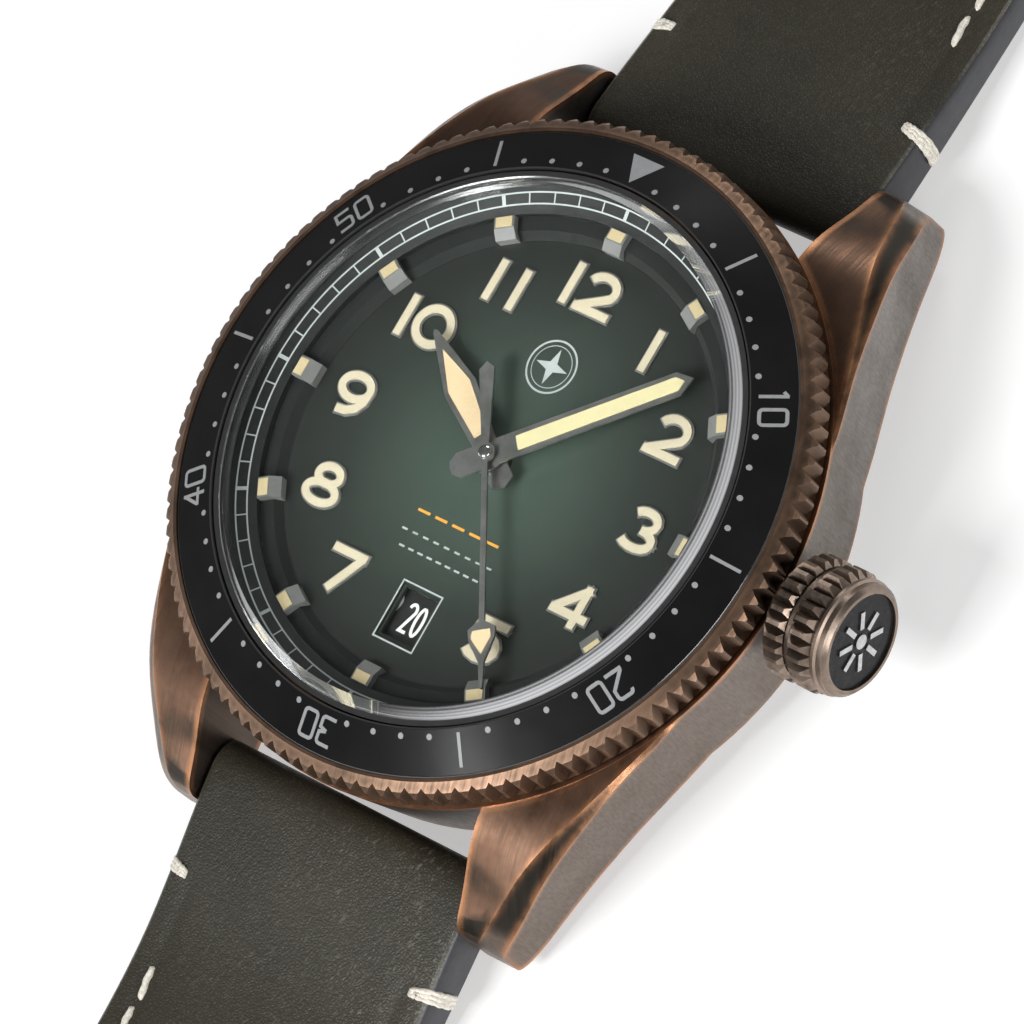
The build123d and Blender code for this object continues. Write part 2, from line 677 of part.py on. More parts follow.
def crown_wheel():
    x, y = CROWN_WHEEL_AT
    tooth = Pos(1.65, 0, 0) * Box(0.4, 0.16, 0.2)
    teeth = [Pos(x, y, 6.85) * Rot(0, 0, 360 * (i + 0.5) / 28) * tooth for i in range(28)]
    upper = disc(1.85, 6.5, 6.8, x, y) + teeth
    spur = gear(32, 0.1627, 4.2, 4.42, CROWN_WHEEL_AT, facing(CROWN_WHEEL_AT, BARREL_AT))
    return upper + disc(0.4, 4.2, 6.6, x, y) + spur


def ratchet_wheel():
    x, y = BARREL_AT
    teeth = gear(57, 0.1627, 4.2, 4.42, BARREL_AT, between(BARREL_AT, CROWN_WHEEL_AT, 57))
    return teeth - disc(0.3, 4, 5, x, y)


def hour_wheel():
    teeth = gear(40, 0.096, 8.36, 8.48, CENTRE, facing(CENTRE, MINUTE_WHEEL_AT)) - disc(0.74, 8, 9)
    return ring(0.74, 0.95, 8.36, HOUR_Z - 0.01) + teeth


def minute_wheel():
    x, y = MINUTE_WHEEL_AT
    teeth = gear(36, 0.1, 8.06, 8.2, MINUTE_WHEEL_AT, facing(MINUTE_WHEEL_AT, CENTRE))
    pinion = gear(10, 0.096, 8.2, 8.5, MINUTE_WHEEL_AT, between(MINUTE_WHEEL_AT, CENTRE, 10))
    return teeth + pinion + disc(0.2, 8.02, 8.55, x, y)


def cannon_pinion():
    tube = disc(0.45, 7.08, 8.06) + disc(0.7, 8.28, 9.88) + disc(0.42, 9.88, MINUTE_Z - 0.01)
    leaves = gear(12, 0.1, 8.06, 8.28, CENTRE, between(CENTRE, MINUTE_WHEEL_AT, 12))
    return tube + leaves - disc(0.32, 7, 11)


# ======================= crown =======================
def crown():
    core = lathe_x(
        (CROWN_IN, 1.75), (CROWN_IN, 3.2), (CROWN_IN + 0.2, CROWN_CORE_R),
        (24.95, CROWN_CORE_R), (25.1, 3.55),
        (25.3, 3.55), (25.4, 3.4), (25.75, 3.4), (CROWN_END, 3.15), (CROWN_END, 2.92),
        (25.6, 2.92), (25.6, 0), (23.4, 0), (23.4, 1.75),
    )
    star = make_face(Polyline(*toothed(CROWN_R + 0.01, CROWN_CORE_R, CROWN_TEETH, CROWN_LAND), close=True))
    teeth = Pos(CROWN_IN, 0, STEM_Z) * extrude(Plane.YZ * star, 3.6)
    inner = CROWN_CORE_R - 0.2
    back_row = lathe_x(
        (21.55, inner), (21.55, 3.42), (21.85, CROWN_R), (22.75, CROWN_R), (23.0, 3.42), (23.0, inner),
    )
    front_row = lathe_x(
        (23.4, inner), (23.4, 3.5), (23.6, CROWN_R), (24.45, CROWN_R), (24.94, 3.34), (24.94, inner),
    )
    return core + (teeth & (back_row + front_row))


def crown_inlay():
    plate = lathe_x((25.62, 0), (25.62, 2.9), (25.82, 2.9), (25.82, 0))
    rays = []
    for i in range(8):
        ray = Pos(25.87, 0, 1.35) * Box(0.12, 0.34, 1.1)
        rays.append(Pos(0, 0, STEM_Z) * Rot(45 * i, 0, 0) * ray)
    boss = lathe_x((25.8, 0), (25.8, 0.45), (25.93, 0.45), (25.93, 0))
    return plate + rays + boss


def crown_tube():
    outer = TUBE_R - 0.01
    return lathe_x((TUBE_IN, 0.62), (22.9, 0.62), (22.9, outer), (TUBE_IN, outer))


# ======================= straps =======================
def strap_profile(reach, length, thin_end):
    """Side outline (distance, height) of a strap, from the spring bar to its free end."""
    lift = KEEPER_LIFT if thin_end else 0.0
    low = STRAP_THIN / 2 + 0.02
    path = [(BAR_Y, BAR_Z), (reach, low + 0.3), (48.0, low + 0.12)]
    path += [(68.0, low + lift), (80.0, low + lift), (length + BAR_Y, low + lift)]
    return path


def strap_face(path, half_near, half_far):
    """Closed side outline around a centre path, thick near the bar and thinner beyond."""
    top, low = [], []
    for i, (y, z) in enumerate(path):
        half = half_near if i == 0 else half_far + (0.12 if i == 1 else 0)
        a = path[max(i - 1, 0)]
        b = path[min(i + 1, len(path) - 1)]
        slope = math.hypot(b[0] - a[0], b[1] - a[1])
        nx, ny = (a[1] - b[1]) / slope, (b[0] - a[0]) / slope
        top.append((y + nx * half, z + ny * half))
        low.append((y - nx * half, z - ny * half))
    upper = Spline(*top)
    lower = Spline(*reversed(low))
    nose = ThreePointArc(low[0], (BAR_Y - half_near, BAR_Z), top[0])
    return make_face([upper, Line(top[-1], low[-1]), lower, nose])


def strap_plan(length, round_tip):
    end = BAR_Y + length
    half_end = STRAP_HALF_W - STRAP_TAPER * length
    near = BAR_Y - 3
    if not round_tip:
        return make_face(Polyline(
            (STRAP_HALF_W, near), (STRAP_HALF_W, BAR_Y), (half_end, end + 3), (-half_end, end + 3),
            (-STRAP_HALF_W, BAR_Y), (-STRAP_HALF_W, near), close=True,
        ))
    shoulder = end - 7.0
    side = Polyline(
        (half_end, shoulder), (STRAP_HALF_W, BAR_Y), (STRAP_HALF_W, near), (-STRAP_HALF_W, near),
        (-STRAP_HALF_W, BAR_Y), (-half_end, shoulder),
    )
    tip = ThreePointArc((-half_end, shoulder), (0, end), (half_end, shoulder))
    return make_face(side + tip)


def strap(reach, length, tail):
    path = strap_profile(reach, length, not tail)
    side = Plane.YZ * strap_face(path, STRAP_END_R, STRAP_THIN / 2)
    slab = Pos(-12, 0, 0) * extrude(side, 24)
    plan = Pos(0, 0, -1) * extrude(strap_plan(length, tail), 9)
    hole = Pos(0, BAR_Y, BAR_Z) * Rot(0, 90, 0) * Cylinder(BAR_R + 0.06, 30)
    return (slab & plan) - hole


BUCKLE_Y = BAR_Y + STRAP_12_LEN
BUCKLE_Z = STRAP_THIN / 2 + KEEPER_LIFT + 0.02
BUCKLE_HALF = STRAP_HALF_W - STRAP_TAPER * STRAP_12_LEN


def strap_12():
    shape = strap(37.5, STRAP_12_LEN, False)
    shape = shape - block(-12, 12, BUCKLE_Y, BUCKLE_Y + 9, 0, 9)
    shape = shape + Pos(0, BUCKLE_Y, BUCKLE_Z) * Rot(0, 90, 0) * Cylinder(STRAP_THIN / 2, 2 * BUCKLE_HALF)
    shape = shape - Pos(0, BUCKLE_Y, BUCKLE_Z) * Rot(0, 90, 0) * Cylinder(0.82, 30)
    return shape - block(-1.3, 1.3, BUCKLE_Y - 3.2, BUCKLE_Y + 3, 0, 9)


def strap_6():
    shape = strap(33.5, STRAP_6_LEN, True)
    for i in range(HOLE_COUNT):
        shape = shape - disc(HOLE_R, -1, 6, 0, BAR_Y + HOLE_FIRST + HOLE_PITCH * i)
    return mirror(shape, Plane.XZ)


def keeper(y, width, z_top):
    half = STRAP_HALF_W - STRAP_TAPER * (y - BAR_Y)
    wall = 1.0
    low = KEEPER_LIFT - 0.08 - wall
    outer = block(-half - 0.25 - wall, half + 0.25 + wall, y - width / 2, y + width / 2, low, z_top + wall)
    outer = fillet(outer.edges().filter_by(Axis.Y), 0.8)
    return outer - block(-half - 0.2, half + 0.2, y - width, y + width, KEEPER_LIFT - 0.08, z_top)


def buckle_frame():
    inner = BUCKLE_HALF + 0.35
    outer = inner + 2.0
    reach = 10.5
    plate = block(-outer, outer, BUCKLE_Y - 1.6, BUCKLE_Y + reach + 2.2, BUCKLE_Z - 1.1, BUCKLE_Z + 1.1)
    plate = fillet(plate.edges().filter_by(Axis.Z), 1.5)
    plate = plate - block(-inner, inner, BUCKLE_Y - 3, BUCKLE_Y + reach, 0, 9)
    plate = chamfer(plate.edges().group_by(Axis.Z)[-1], 0.3)
    seat = block(-1.1, 1.1, BUCKLE_Y + reach - 1, BUCKLE_Y + reach + 3, BUCKLE_Z + 0.6, 9)
    pins = Pos(0, BUCKLE_Y, BUCKLE_Z) * Rot(0, 90, 0) * Cylinder(0.5, 2 * inner + 2.4)
    return plate - seat - pins


def buckle_tongue():
    bar = Pos(0, BUCKLE_Y, BUCKLE_Z) * Rot(0, 90, 0) * Cylinder(1.25, 2.0)
    finger = block(-0.9, 0.9, BUCKLE_Y, BUCKLE_Y + 12.4, BUCKLE_Z + 0.65, BUCKLE_Z + 1.25)
    return bar + finger - Pos(0, BUCKLE_Y, BUCKLE_Z) * Rot(0, 90, 0) * Cylinder(0.8, 5)


def spring_bar(y, z, half, body_r, pin_r, pin_reach):
    rod = Cylinder(body_r, 2 * half - 0.6) + Cylinder(pin_r, 2 * (half + pin_reach))
    return Pos(0, y, z) * Rot(0, 90, 0) * rod


keep("case_middle", case_middle())
keep("case_back", case_back())
keep("case_back_gasket", ring(16.25, 16.95, BACK_SEAT_Z + 0.02, BACK_SEAT_Z + 0.4))
keep("crystal", crystal())
keep("crystal_gasket", ring(CRYSTAL_R + 0.01, NECK_BORE_R - 0.01, CRYSTAL_SEAT_Z + 0.02, 12.6))
keep("flange_ring", flange_ring())
keep("bezel_ring", bezel_ring())
keep("bezel_insert", bezel_insert())
keep("bezel_markers", bezel_markers())
keep("bezel_click_spring", click_spring())
keep("dial_plate", dial_plate())
keep("hour_blocks", around_hours(hour_block()))
keep("hour_block_lume", around_hours(block(14.32, 14.95, -0.52, 0.52, BLOCK_TOP, BLOCK_TOP + 0.06)))
numeral_outer = numerals(NUMERAL_STROKE, NUMERAL_EDGE / 4)
numeral_inner = numerals(NUMERAL_STROKE - NUMERAL_EDGE, -NUMERAL_EDGE / 4)
keep("numeral_frames", Pos(0, 0, DIAL_TOP) * extrude(numeral_outer, 0.12))
keep("numeral_lume", Pos(0, 0, DIAL_TOP + 0.12) * extrude(numeral_inner, 0.08))
keep("date_disc", date_disc())
keep("hour_hand", hour_hand())
keep("hour_hand_lume", lume(((0.42, 1.6), (0.75, 5.2), (0.0, 8.0)), HOUR_ANGLE, HOUR_Z))
keep("minute_hand", minute_hand())
keep("minute_hand_lume", lume(((0.46, 1.9), (0.44, 12.1), (0.0, 12.6)), MINUTE_ANGLE, MINUTE_Z))
keep("seconds_hand", seconds_hand())
keep("seconds_hand_lume", lume(((0.56, 10.98), (0.64, 11.45), (0.0, 12.45)), SECONDS_ANGLE, SECONDS_Z))
keep("movement_ring", ring(MOVEMENT_R + 0.05, CAVITY_R - 0.05, 4.6, DIAL_Z - 0.02)
     - lathe_x((11.0, 0), (16.0, 0), (16.0, 1.6), (11.0, 1.6)))
keep("main_plate", main_plate())
keep("train_bridge", train_bridge())
keep("barrel_bridge", barrel_bridge())
keep("balance_cock", balance_cock())
keep("movement_screws", movement_screws())
keep("rotor", rotor())
keep("rotor_post", rotor_post())
keep("hairspring", hairspring())
keep("mainspring", mainspring())
keep("barrel_drum", barrel_drum())
keep("barrel_arbor", barrel_arbor())
keep("centre_wheel", centre_wheel())
keep("third_wheel", third_wheel())
keep("fourth_wheel", fourth_wheel())
keep("escape_wheel", escape_wheel())
keep("pallet_fork", pallet_fork())
keep("balance_wheel", balance_wheel())
keep("winding_pinion", winding_pinion())
keep("winding_stem", winding_stem())
keep("crown_wheel", crown_wheel())
keep("ratchet_wheel", ratchet_wheel())
keep("hour_wheel", hour_wheel())
keep("minute_wheel", minute_wheel())
keep("cannon_pinion", cannon_pinion())
keep("crown", crown())
keep("crown_inlay", crown_inlay())
keep("crown_tube", crown_tube())
keep("spring_bar_12", spring_bar(BAR_Y, BAR_Z, LUG_GAP, BAR_R, BAR_PIN_R, 1.4))
keep("spring_bar_6", spring_bar(-BAR_Y, BAR_Z, LUG_GAP, BAR_R, BAR_PIN_R, 1.4))
keep("strap_12", strap_12())
keep("strap_6", strap_6())
keep("strap_keeper_fixed", keeper(BAR_Y + 65.0, 6.0, BUCKLE_Z + STRAP_THIN / 2 + 2.9))
keep("strap_keeper_free", keeper(BAR_Y + 52.0, 6.0, BUCKLE_Z + STRAP_THIN / 2 + 2.9))
keep("buckle_frame", buckle_frame())
keep("buckle_tongue", buckle_tongue())
keep("buckle_spring_bar", spring_bar(BUCKLE_Y, BUCKLE_Z, BUCKLE_HALF + 0.35, 0.75, 0.45, 1.0))

for name, shape in PARTS.items():
    export_step(shape, f"parts/{name}.step")
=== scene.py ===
import math

import bmesh
import bpy
from mathutils import Matrix, Vector

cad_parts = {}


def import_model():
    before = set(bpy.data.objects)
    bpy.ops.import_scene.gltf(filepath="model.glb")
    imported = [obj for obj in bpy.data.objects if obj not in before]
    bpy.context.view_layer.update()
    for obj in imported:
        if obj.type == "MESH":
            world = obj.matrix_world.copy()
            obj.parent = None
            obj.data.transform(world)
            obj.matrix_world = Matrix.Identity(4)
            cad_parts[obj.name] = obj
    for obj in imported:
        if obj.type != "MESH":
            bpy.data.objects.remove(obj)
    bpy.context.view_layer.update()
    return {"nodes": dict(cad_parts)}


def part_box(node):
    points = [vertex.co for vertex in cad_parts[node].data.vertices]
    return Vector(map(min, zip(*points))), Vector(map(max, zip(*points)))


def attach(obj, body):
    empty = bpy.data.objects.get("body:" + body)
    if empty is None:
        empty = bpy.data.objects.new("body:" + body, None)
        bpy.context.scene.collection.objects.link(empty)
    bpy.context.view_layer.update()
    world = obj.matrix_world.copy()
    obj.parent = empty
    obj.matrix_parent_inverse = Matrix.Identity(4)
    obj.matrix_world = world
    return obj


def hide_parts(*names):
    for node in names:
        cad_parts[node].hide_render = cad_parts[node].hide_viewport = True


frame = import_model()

NODES = frame["nodes"]
MM = 0.001

# Camera: direction from the watch (degrees), turn of the picture, distance and lens
CAM_AZIMUTH = -11.394
CAM_ELEVATION = 54.945
CAM_ROLL = 50.58
CAM_DISTANCE = 0.48860
CAM_TARGET = Vector((0.00200, -0.00211, 0.0091))
CAM_LENS = 299.55


# ---------------------------------------------------------------- shader helpers
class Shader:
    """A material's node tree, with short calls for the few nodes used here."""

    def __init__(self, name):
        self.mat = bpy.data.materials.new(name)
        self.mat.use_nodes = True
        self.tree = self.mat.node_tree
        self.bsdf = self.tree.nodes["Principled BSDF"]

    def set(self, **values):
        for key, value in values.items():
            socket = self.bsdf.inputs[key.replace("_", " ")]
            if isinstance(value, bpy.types.NodeSocket):
                self.tree.links.new(value, socket)
            else:
                socket.default_value = value
        return self

    def node(self, kind, **inputs):
        made = self.tree.nodes.new(kind)
        for key, value in inputs.items():
            socket = made.inputs[key.replace("_", " ")]
            if isinstance(value, bpy.types.NodeSocket):
                self.tree.links.new(value, socket)
            else:
                socket.default_value = value
        return made

    def place(self, scale=(1, 1, 1)):
        coords = self.tree.nodes.new("ShaderNodeTexCoord")
        mapping = self.node("ShaderNodeMapping", Vector=coords.outputs["Object"])
        mapping.inputs["Scale"].default_value = scale
        return mapping.outputs[0]

    def distance(self, first, second):
        """Length of the vector with these two components."""
        return self.math("SQRT", self.math("ADD", self.math("MULTIPLY", first, first),
                                           self.math("MULTIPLY", second, second)))

    def noise(self, vector, scale, detail=3.0, rough=0.5):
        made = self.node("ShaderNodeTexNoise", Vector=vector, Scale=scale, Detail=detail, Roughness=rough)
        return made.outputs["Fac"]

    def ramp(self, fac, stops):
        made = self.node("ShaderNodeValToRGB", Fac=fac)
        ramp = made.color_ramp
        while len(ramp.elements) < len(stops):
            ramp.elements.new(0.5)
        for element, (at, colour) in zip(ramp.elements, stops):
            element.position = at
            element.color = (*colour, 1.0)
        return made.outputs["Color"]

    def math(self, operation, a, b=0.0):
        made = self.tree.nodes.new("ShaderNodeMath")
        made.operation = operation
        for socket, value in zip(made.inputs, (a, b)):
            if isinstance(value, bpy.types.NodeSocket):
                self.tree.links.new(value, socket)
            else:
                socket.default_value = value
        return made.outputs[0]

    def mix(self, fac, a, b, blend="MIX"):
        made = self.tree.nodes.new("ShaderNodeMix")
        made.data_type = "RGBA"
        made.blend_type = blend
        for socket, value in ((made.inputs[0], fac), (made.inputs[6], a), (made.inputs[7], b)):
            if isinstance(value, bpy.types.NodeSocket):
                self.tree.links.new(value, socket)
            elif isinstance(value, tuple):
                socket.default_value = (*value, 1.0)
            else:
                socket.default_value = value
        return made.outputs[2]

    def bump(self, height, distance, strength=1.0, normal=None):
        made = self.node("ShaderNodeBump", Height=height, Distance=distance, Strength=strength)
        if normal is not None:
            self.tree.links.new(normal, made.inputs["Normal"])
        return made.outputs[0]

    def step(self, value, low, high):
        """Smooth 0 to 1 as value goes from low to high."""
        made = self.node("ShaderNodeMapRange", Value=value)
        made.interpolation_type = "SMOOTHSTEP"
        made.inputs["From Min"].default_value = low
        made.inputs["From Max"].default_value = high
        return made.outputs[0]

    def range(self, value, low, high):
        made = self.node("ShaderNodeMapRange", Value=value)
        made.inputs["To Min"].default_value = low
        made.inputs["To Max"].default_value = high
        return made.outputs[0]


def metal(name, dark, light, roughness, grain=(900, 60, 60), scratch=0.000004, patch=220):
    """Brushed metal: fine stretched grain, with broad patches of colour between dark and light."""
    s = Shader(name)
    fine = s.noise(s.place(grain), 1.0, 4.0, 0.6)
    broad = s.noise(s.place(), patch, 4.0, 0.6)
    colour = s.ramp(broad, [(0.3, dark), (0.7, light)])
    colour = s.mix(s.range(fine, 0.0, 0.35), colour, tuple(0.55 * c for c in dark))
    s.set(Base_Color=colour, Metallic=1.0, Roughness=s.range(fine, roughness - 0.06, roughness + 0.1))
    s.set(Normal=s.bump(fine, scratch))
    return s.mat


def paint(name, colour, roughness, speckle=0.0, metallic=0.0, bump=0.000002, scale=2500):
    """Even paint, lacquer or lume with faint mottling."""
    s = Shader(name)
    grain = s.noise(s.place(), scale, 3.0)
    low = tuple(c * (1 - speckle) for c in colour)
    s.set(Base_Color=s.ramp(grain, [(0.3, low), (0.7, colour)]), Roughness=roughness, Metallic=metallic)
    s.set(Normal=s.bump(grain, bump))
    return s.mat


def bronze(name, tops, facet_painted_shade, flanks, edge, roughness=0.34, brush=0.000004, edge_wear_and_highlight=0.95,
           valley=None):
    """Brushed, patinated bronze: colour by which way a face looks, with bevel faces painted dark as shade; tops
    painted darker towards +Y and flanks browner and darker towards -Y, as painted light and shade; copper along
    the edges, partly abraded bare and partly a painted highlight.
    """
    s = Shader(name)
    coords = s.tree.nodes.new("ShaderNodeTexCoord")
    facing = s.node("ShaderNodeSeparateXYZ", Vector=coords.outputs["Normal"])
    level = s.math("ABSOLUTE", facing.outputs[2])
    flat = s.step(level, 0.79, 0.83)
    steep = s.step(level, 0.56, 0.46)
    along = s.noise(s.place((6500, 260, 300)), 1.0, 4.0, 0.65)
    down = s.noise(s.place((7000, 7000, 150)), 1.0, 4.0, 0.65)
    lines = s.math("ADD", s.math("MULTIPLY", down, steep),
                   s.math("MULTIPLY", along, s.math("SUBTRACT", 1.0, steep)))
    streak = s.step(lines, 0.3, 0.7)
    patch = s.noise(s.place(), 210, 5.0, 0.65)
    # Painted light and shade by position along Y: lug tops get darker towards +Y, flanks browner and darker
    # towards -Y.
    painted_light_along_y = s.step(s.node("ShaderNodeSeparateXYZ", Vector=s.place()).outputs[1], -18.0 * MM, 20.0 * MM)
    top = s.ramp(patch, [(0.34, tops[0]), (0.66, tops[1])])
    top = s.mix(s.math("MULTIPLY", painted_light_along_y, 0.6), top, tuple(0.3 * c for c in tops[0]))
    # Faces between top and flank take the dark bevel colour: painted shade standing for the dark they reflect.
    colour = s.mix(flat, facet_painted_shade, top)
    side = s.ramp(patch, [(0.34, flanks[0]), (0.66, flanks[1])])
    flank_painted_tint = s.mix(painted_light_along_y, tuple(c * k for c, k in zip(flanks[0], (0.95, 0.78, 0.66))), side)
    colour = s.mix(steep, colour, s.mix(0.7, side, flank_painted_tint))
    depth = s.mix(steep, (0.5, 0.5, 0.5), (0.2, 0.2, 0.2))
    shade = s.math("MULTIPLY", s.math("SUBTRACT", 1.0, streak), depth)
    colour = s.mix(shade, colour, tuple(0.35 * c for c in flanks[0]))
    # Crown only: colour turns near black between the lobes, painted shade in the valleys.
    if valley:
        at = s.node("ShaderNodeSeparateXYZ", Vector=s.place())
        up = s.math("SUBTRACT", at.outputs[2], valley)
        off = s.distance(at.outputs[1], up)
        low = s.math("MULTIPLY", s.step(off, CROWN_TIPS, CROWN_ROOTS), s.step(at.outputs[0], 25.0 * MM, 24.9 * MM))
        colour = s.mix(s.math("MULTIPLY", low, 0.85), colour, (0.03, 0.022, 0.018))
    round_normal = s.node("ShaderNodeBevel", Radius=0.0008)
    round_normal.samples = 6
    geometry = s.tree.nodes.new("ShaderNodeNewGeometry")
    dot = s.tree.nodes.new("ShaderNodeVectorMath")
    dot.operation = "DOT_PRODUCT"
    s.tree.links.new(round_normal.outputs[0], dot.inputs[0])
    s.tree.links.new(geometry.outputs["Normal"], dot.inputs[1])
    # Copper colour along sharp edges, in patches: partly abraded bare metal, partly a painted highlight.
    worn_edge_and_highlight = s.step(s.math("SUBTRACT", 1.0, dot.outputs["Value"]), 0.0, 0.05)
    rub = s.step(s.noise(s.place(), 520, 4.0, 0.65), 0.2, 0.6)
    colour = s.mix(s.math("MULTIPLY", s.math("MULTIPLY", worn_edge_and_highlight, rub), edge_wear_and_highlight), colour, edge)
    s.set(Base_Color=colour, Metallic=1.0, Roughness=s.range(streak, roughness + 0.12, roughness))
    s.set(Normal=s.bump(lines, brush))
    return s.mat


CROWN_Z = (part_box("crown")[0][2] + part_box("crown")[1][2]) / 2
CROWN_TIPS, CROWN_ROOTS = 3.95 * MM, 3.5 * MM
BRONZE = bronze("bronze_case", ((0.17, 0.093, 0.06), (0.38, 0.22, 0.145)), (0.05, 0.044, 0.037),
                ((0.17, 0.145, 0.125), (0.29, 0.265, 0.245)), (0.62, 0.30, 0.15))
BRONZE_KNURL = bronze("bronze_knurl", ((0.115, 0.078, 0.056), (0.23, 0.145, 0.10)), (0.10, 0.066, 0.047),
                      ((0.12, 0.09, 0.07), (0.20, 0.145, 0.11)), (0.34, 0.21, 0.14), 0.42, 0.000002, 0.6)
CROWN_METAL = bronze("bronze_crown", ((0.10, 0.08, 0.07), (0.22, 0.18, 0.155)), (0.16, 0.13, 0.11),
                     ((0.12, 0.095, 0.08), (0.26, 0.215, 0.18)), (0.50, 0.38, 0.30), 0.3, 0.000001, 0.6, CROWN_Z)
STEEL = metal("steel", (0.42, 0.42, 0.43), (0.62, 0.62, 0.63), 0.25, (300, 300, 300))
NICKEL = metal("nickel", (0.5, 0.5, 0.48), (0.7, 0.69, 0.66), 0.28, (80, 1800, 400), 0.000003)
BRASS = metal("brass", (0.55, 0.4, 0.16), (0.8, 0.62, 0.3), 0.25, (500, 500, 500), 0.000002)
BLUED = metal("blued_steel", (0.03, 0.05, 0.16), (0.07, 0.11, 0.3), 0.22, (500, 500, 500), 0.000001)
HUB_STEEL = metal("hub_steel", (0.5, 0.5, 0.5), (0.7, 0.7, 0.7), 0.15, (300, 300, 300), 0.000001, 900)
HAND_GREY = metal("hand_grey", (0.27, 0.265, 0.255), (0.40, 0.395, 0.38), 0.42, (600, 600, 600), 0.000002, 900)
FRAME_GREY = paint("frame_grey", (0.24, 0.235, 0.22), 0.35, 0.1, 0.5)
BLOCK_GREY = paint("block_grey", (0.14, 0.14, 0.135), 0.5, 0.12)
MARKER = paint("marker_grey", (0.33, 0.335, 0.34), 0.3, 0.12)
PRINT = paint("print_grey", (0.42, 0.45, 0.44), 0.5, 0.08)
CREAM = paint("lume_cream", (0.56, 0.49, 0.35), 0.6, 0.08, bump=0.000006, scale=9000)
TAN = paint("lume_tan", (0.52, 0.42, 0.24), 0.6, 0.1, bump=0.000006, scale=9000)
YELLOW = paint("lume_pale_yellow", (0.60, 0.53, 0.30), 0.6, 0.08, bump=0.000006, scale=9000)
APRICOT = paint("lume_apricot", (0.64, 0.48, 0.29), 0.6, 0.08, bump=0.000006, scale=9000)
ORANGE = paint("print_orange", (0.75, 0.33, 0.04), 0.5, 0.08)
DATE_BLACK = paint("date_black", (0.012, 0.012, 0.012), 0.55, 0.2)
FLANGE = paint("flange_black", (0.012, 0.014, 0.013), 0.4, 0.3)
RUBBER = paint("gasket_rubber", (0.02, 0.02, 0.02), 0.6, 0.3, bump=0.00001)


def ceramic():
    """Polished black ceramic, with painted highlight lines at its two edges, the outer one brighter."""
    s = Shader("insert_ceramic")
    haze = s.noise(s.place(), 240, 4.0, 0.55)
    black = s.ramp(haze, [(0.3, (0.004, 0.004, 0.0045)), (0.7, (0.007, 0.007, 0.0075))])
    at = s.node("ShaderNodeSeparateXYZ", Vector=s.place())
    radius = s.distance(at.outputs[0], at.outputs[1])
    # Thin lines at both edges painted light grey and partly metallic: painted highlights, brighter at the outer
    # edge than the inner.
    painted_rim_highlights = s.math("MAXIMUM", s.step(radius, 19.84 * MM, 19.87 * MM), s.step(radius, 17.33 * MM, 17.30 * MM))
    inner = s.step(radius, 18.0 * MM, 17.5 * MM)
    bright = s.mix(inner, (0.36, 0.36, 0.37), (0.08, 0.08, 0.08))
    s.set(Base_Color=s.mix(painted_rim_highlights, black, bright), Metallic=s.math("MULTIPLY", painted_rim_highlights, 0.6))
    s.set(Roughness=s.range(haze, 0.14, 0.2))
    return s.mat


def crown_inlay_lacquer():
    """Black lacquered disc; the raised mark on it is polished bright."""
    s = Shader("crown_inlay")
    at = s.node("ShaderNodeSeparateXYZ", Vector=s.place())
    raised = s.step(at.outputs[0], 25.83 * MM, 25.86 * MM)
    fleck = s.noise(s.place(), 2500, 3.0)
    black = s.ramp(fleck, [(0.3, (0.010, 0.010, 0.011)), (0.7, (0.022, 0.022, 0.024))])
    bright = s.ramp(fleck, [(0.3, (0.42, 0.42, 0.43)), (0.7, (0.62, 0.62, 0.62))])
    s.set(Base_Color=s.mix(raised, black, bright), Metallic=raised, Roughness=s.range(fleck, 0.18, 0.34))
    s.set(Specular_IOR_Level=0.12)
    s.set(Normal=s.bump(fleck, 0.000002))
    return s.mat


DIAL_RADIUS = 0.0153


def dial_paint():
    """Green lacquer, bright at the centre and almost black at the rim, where the bevelled ring is painted near
    black as shade, with a faint radial brushing.
    """
    s = Shader("dial_green")
    at = s.tree.nodes.new("ShaderNodeSeparateXYZ")
    s.tree.links.new(s.place(), at.inputs[0])
    radius = s.math("MULTIPLY", s.distance(at.outputs[0], at.outputs[1]), 1 / DIAL_RADIUS)
    # From 0.90 of the radius outwards, over the bevelled ring, the colour is near black: painted shade on the
    # bevel.
    green = s.ramp(radius, [
        (0.0, (0.064, 0.094, 0.074)), (0.32, (0.046, 0.066, 0.053)), (0.60, (0.026, 0.033, 0.027)),
        (0.885, (0.014, 0.0148, 0.0138)), (0.90, (0.003, 0.0035, 0.003)), (1.0, (0.003, 0.004, 0.004)),
    ])
    angle = s.math("ARCTAN2", at.outputs[1], at.outputs[0])
    turn = s.node("ShaderNodeCombineXYZ", X=s.math("MULTIPLY", angle, 60.0), Y=radius)
    rays = s.noise(turn.outputs[0], 1.0, 4.0, 0.7)
    colour = s.mix(s.range(rays, 0.0, 0.25), green, (0.09, 0.13, 0.10))
    rough = s.mix(s.step(radius, 0.885, 0.895), (0.42, 0.42, 0.42), (0.85, 0.85, 0.85))
    s.set(Base_Color=s.mix(0.7, colour, green), Metallic=0.2, Roughness=rough)
    s.set(Coat_Weight=0.08, Coat_Roughness=0.12, Normal=s.bump(rays, 0.000002, 0.4))
    return s.mat


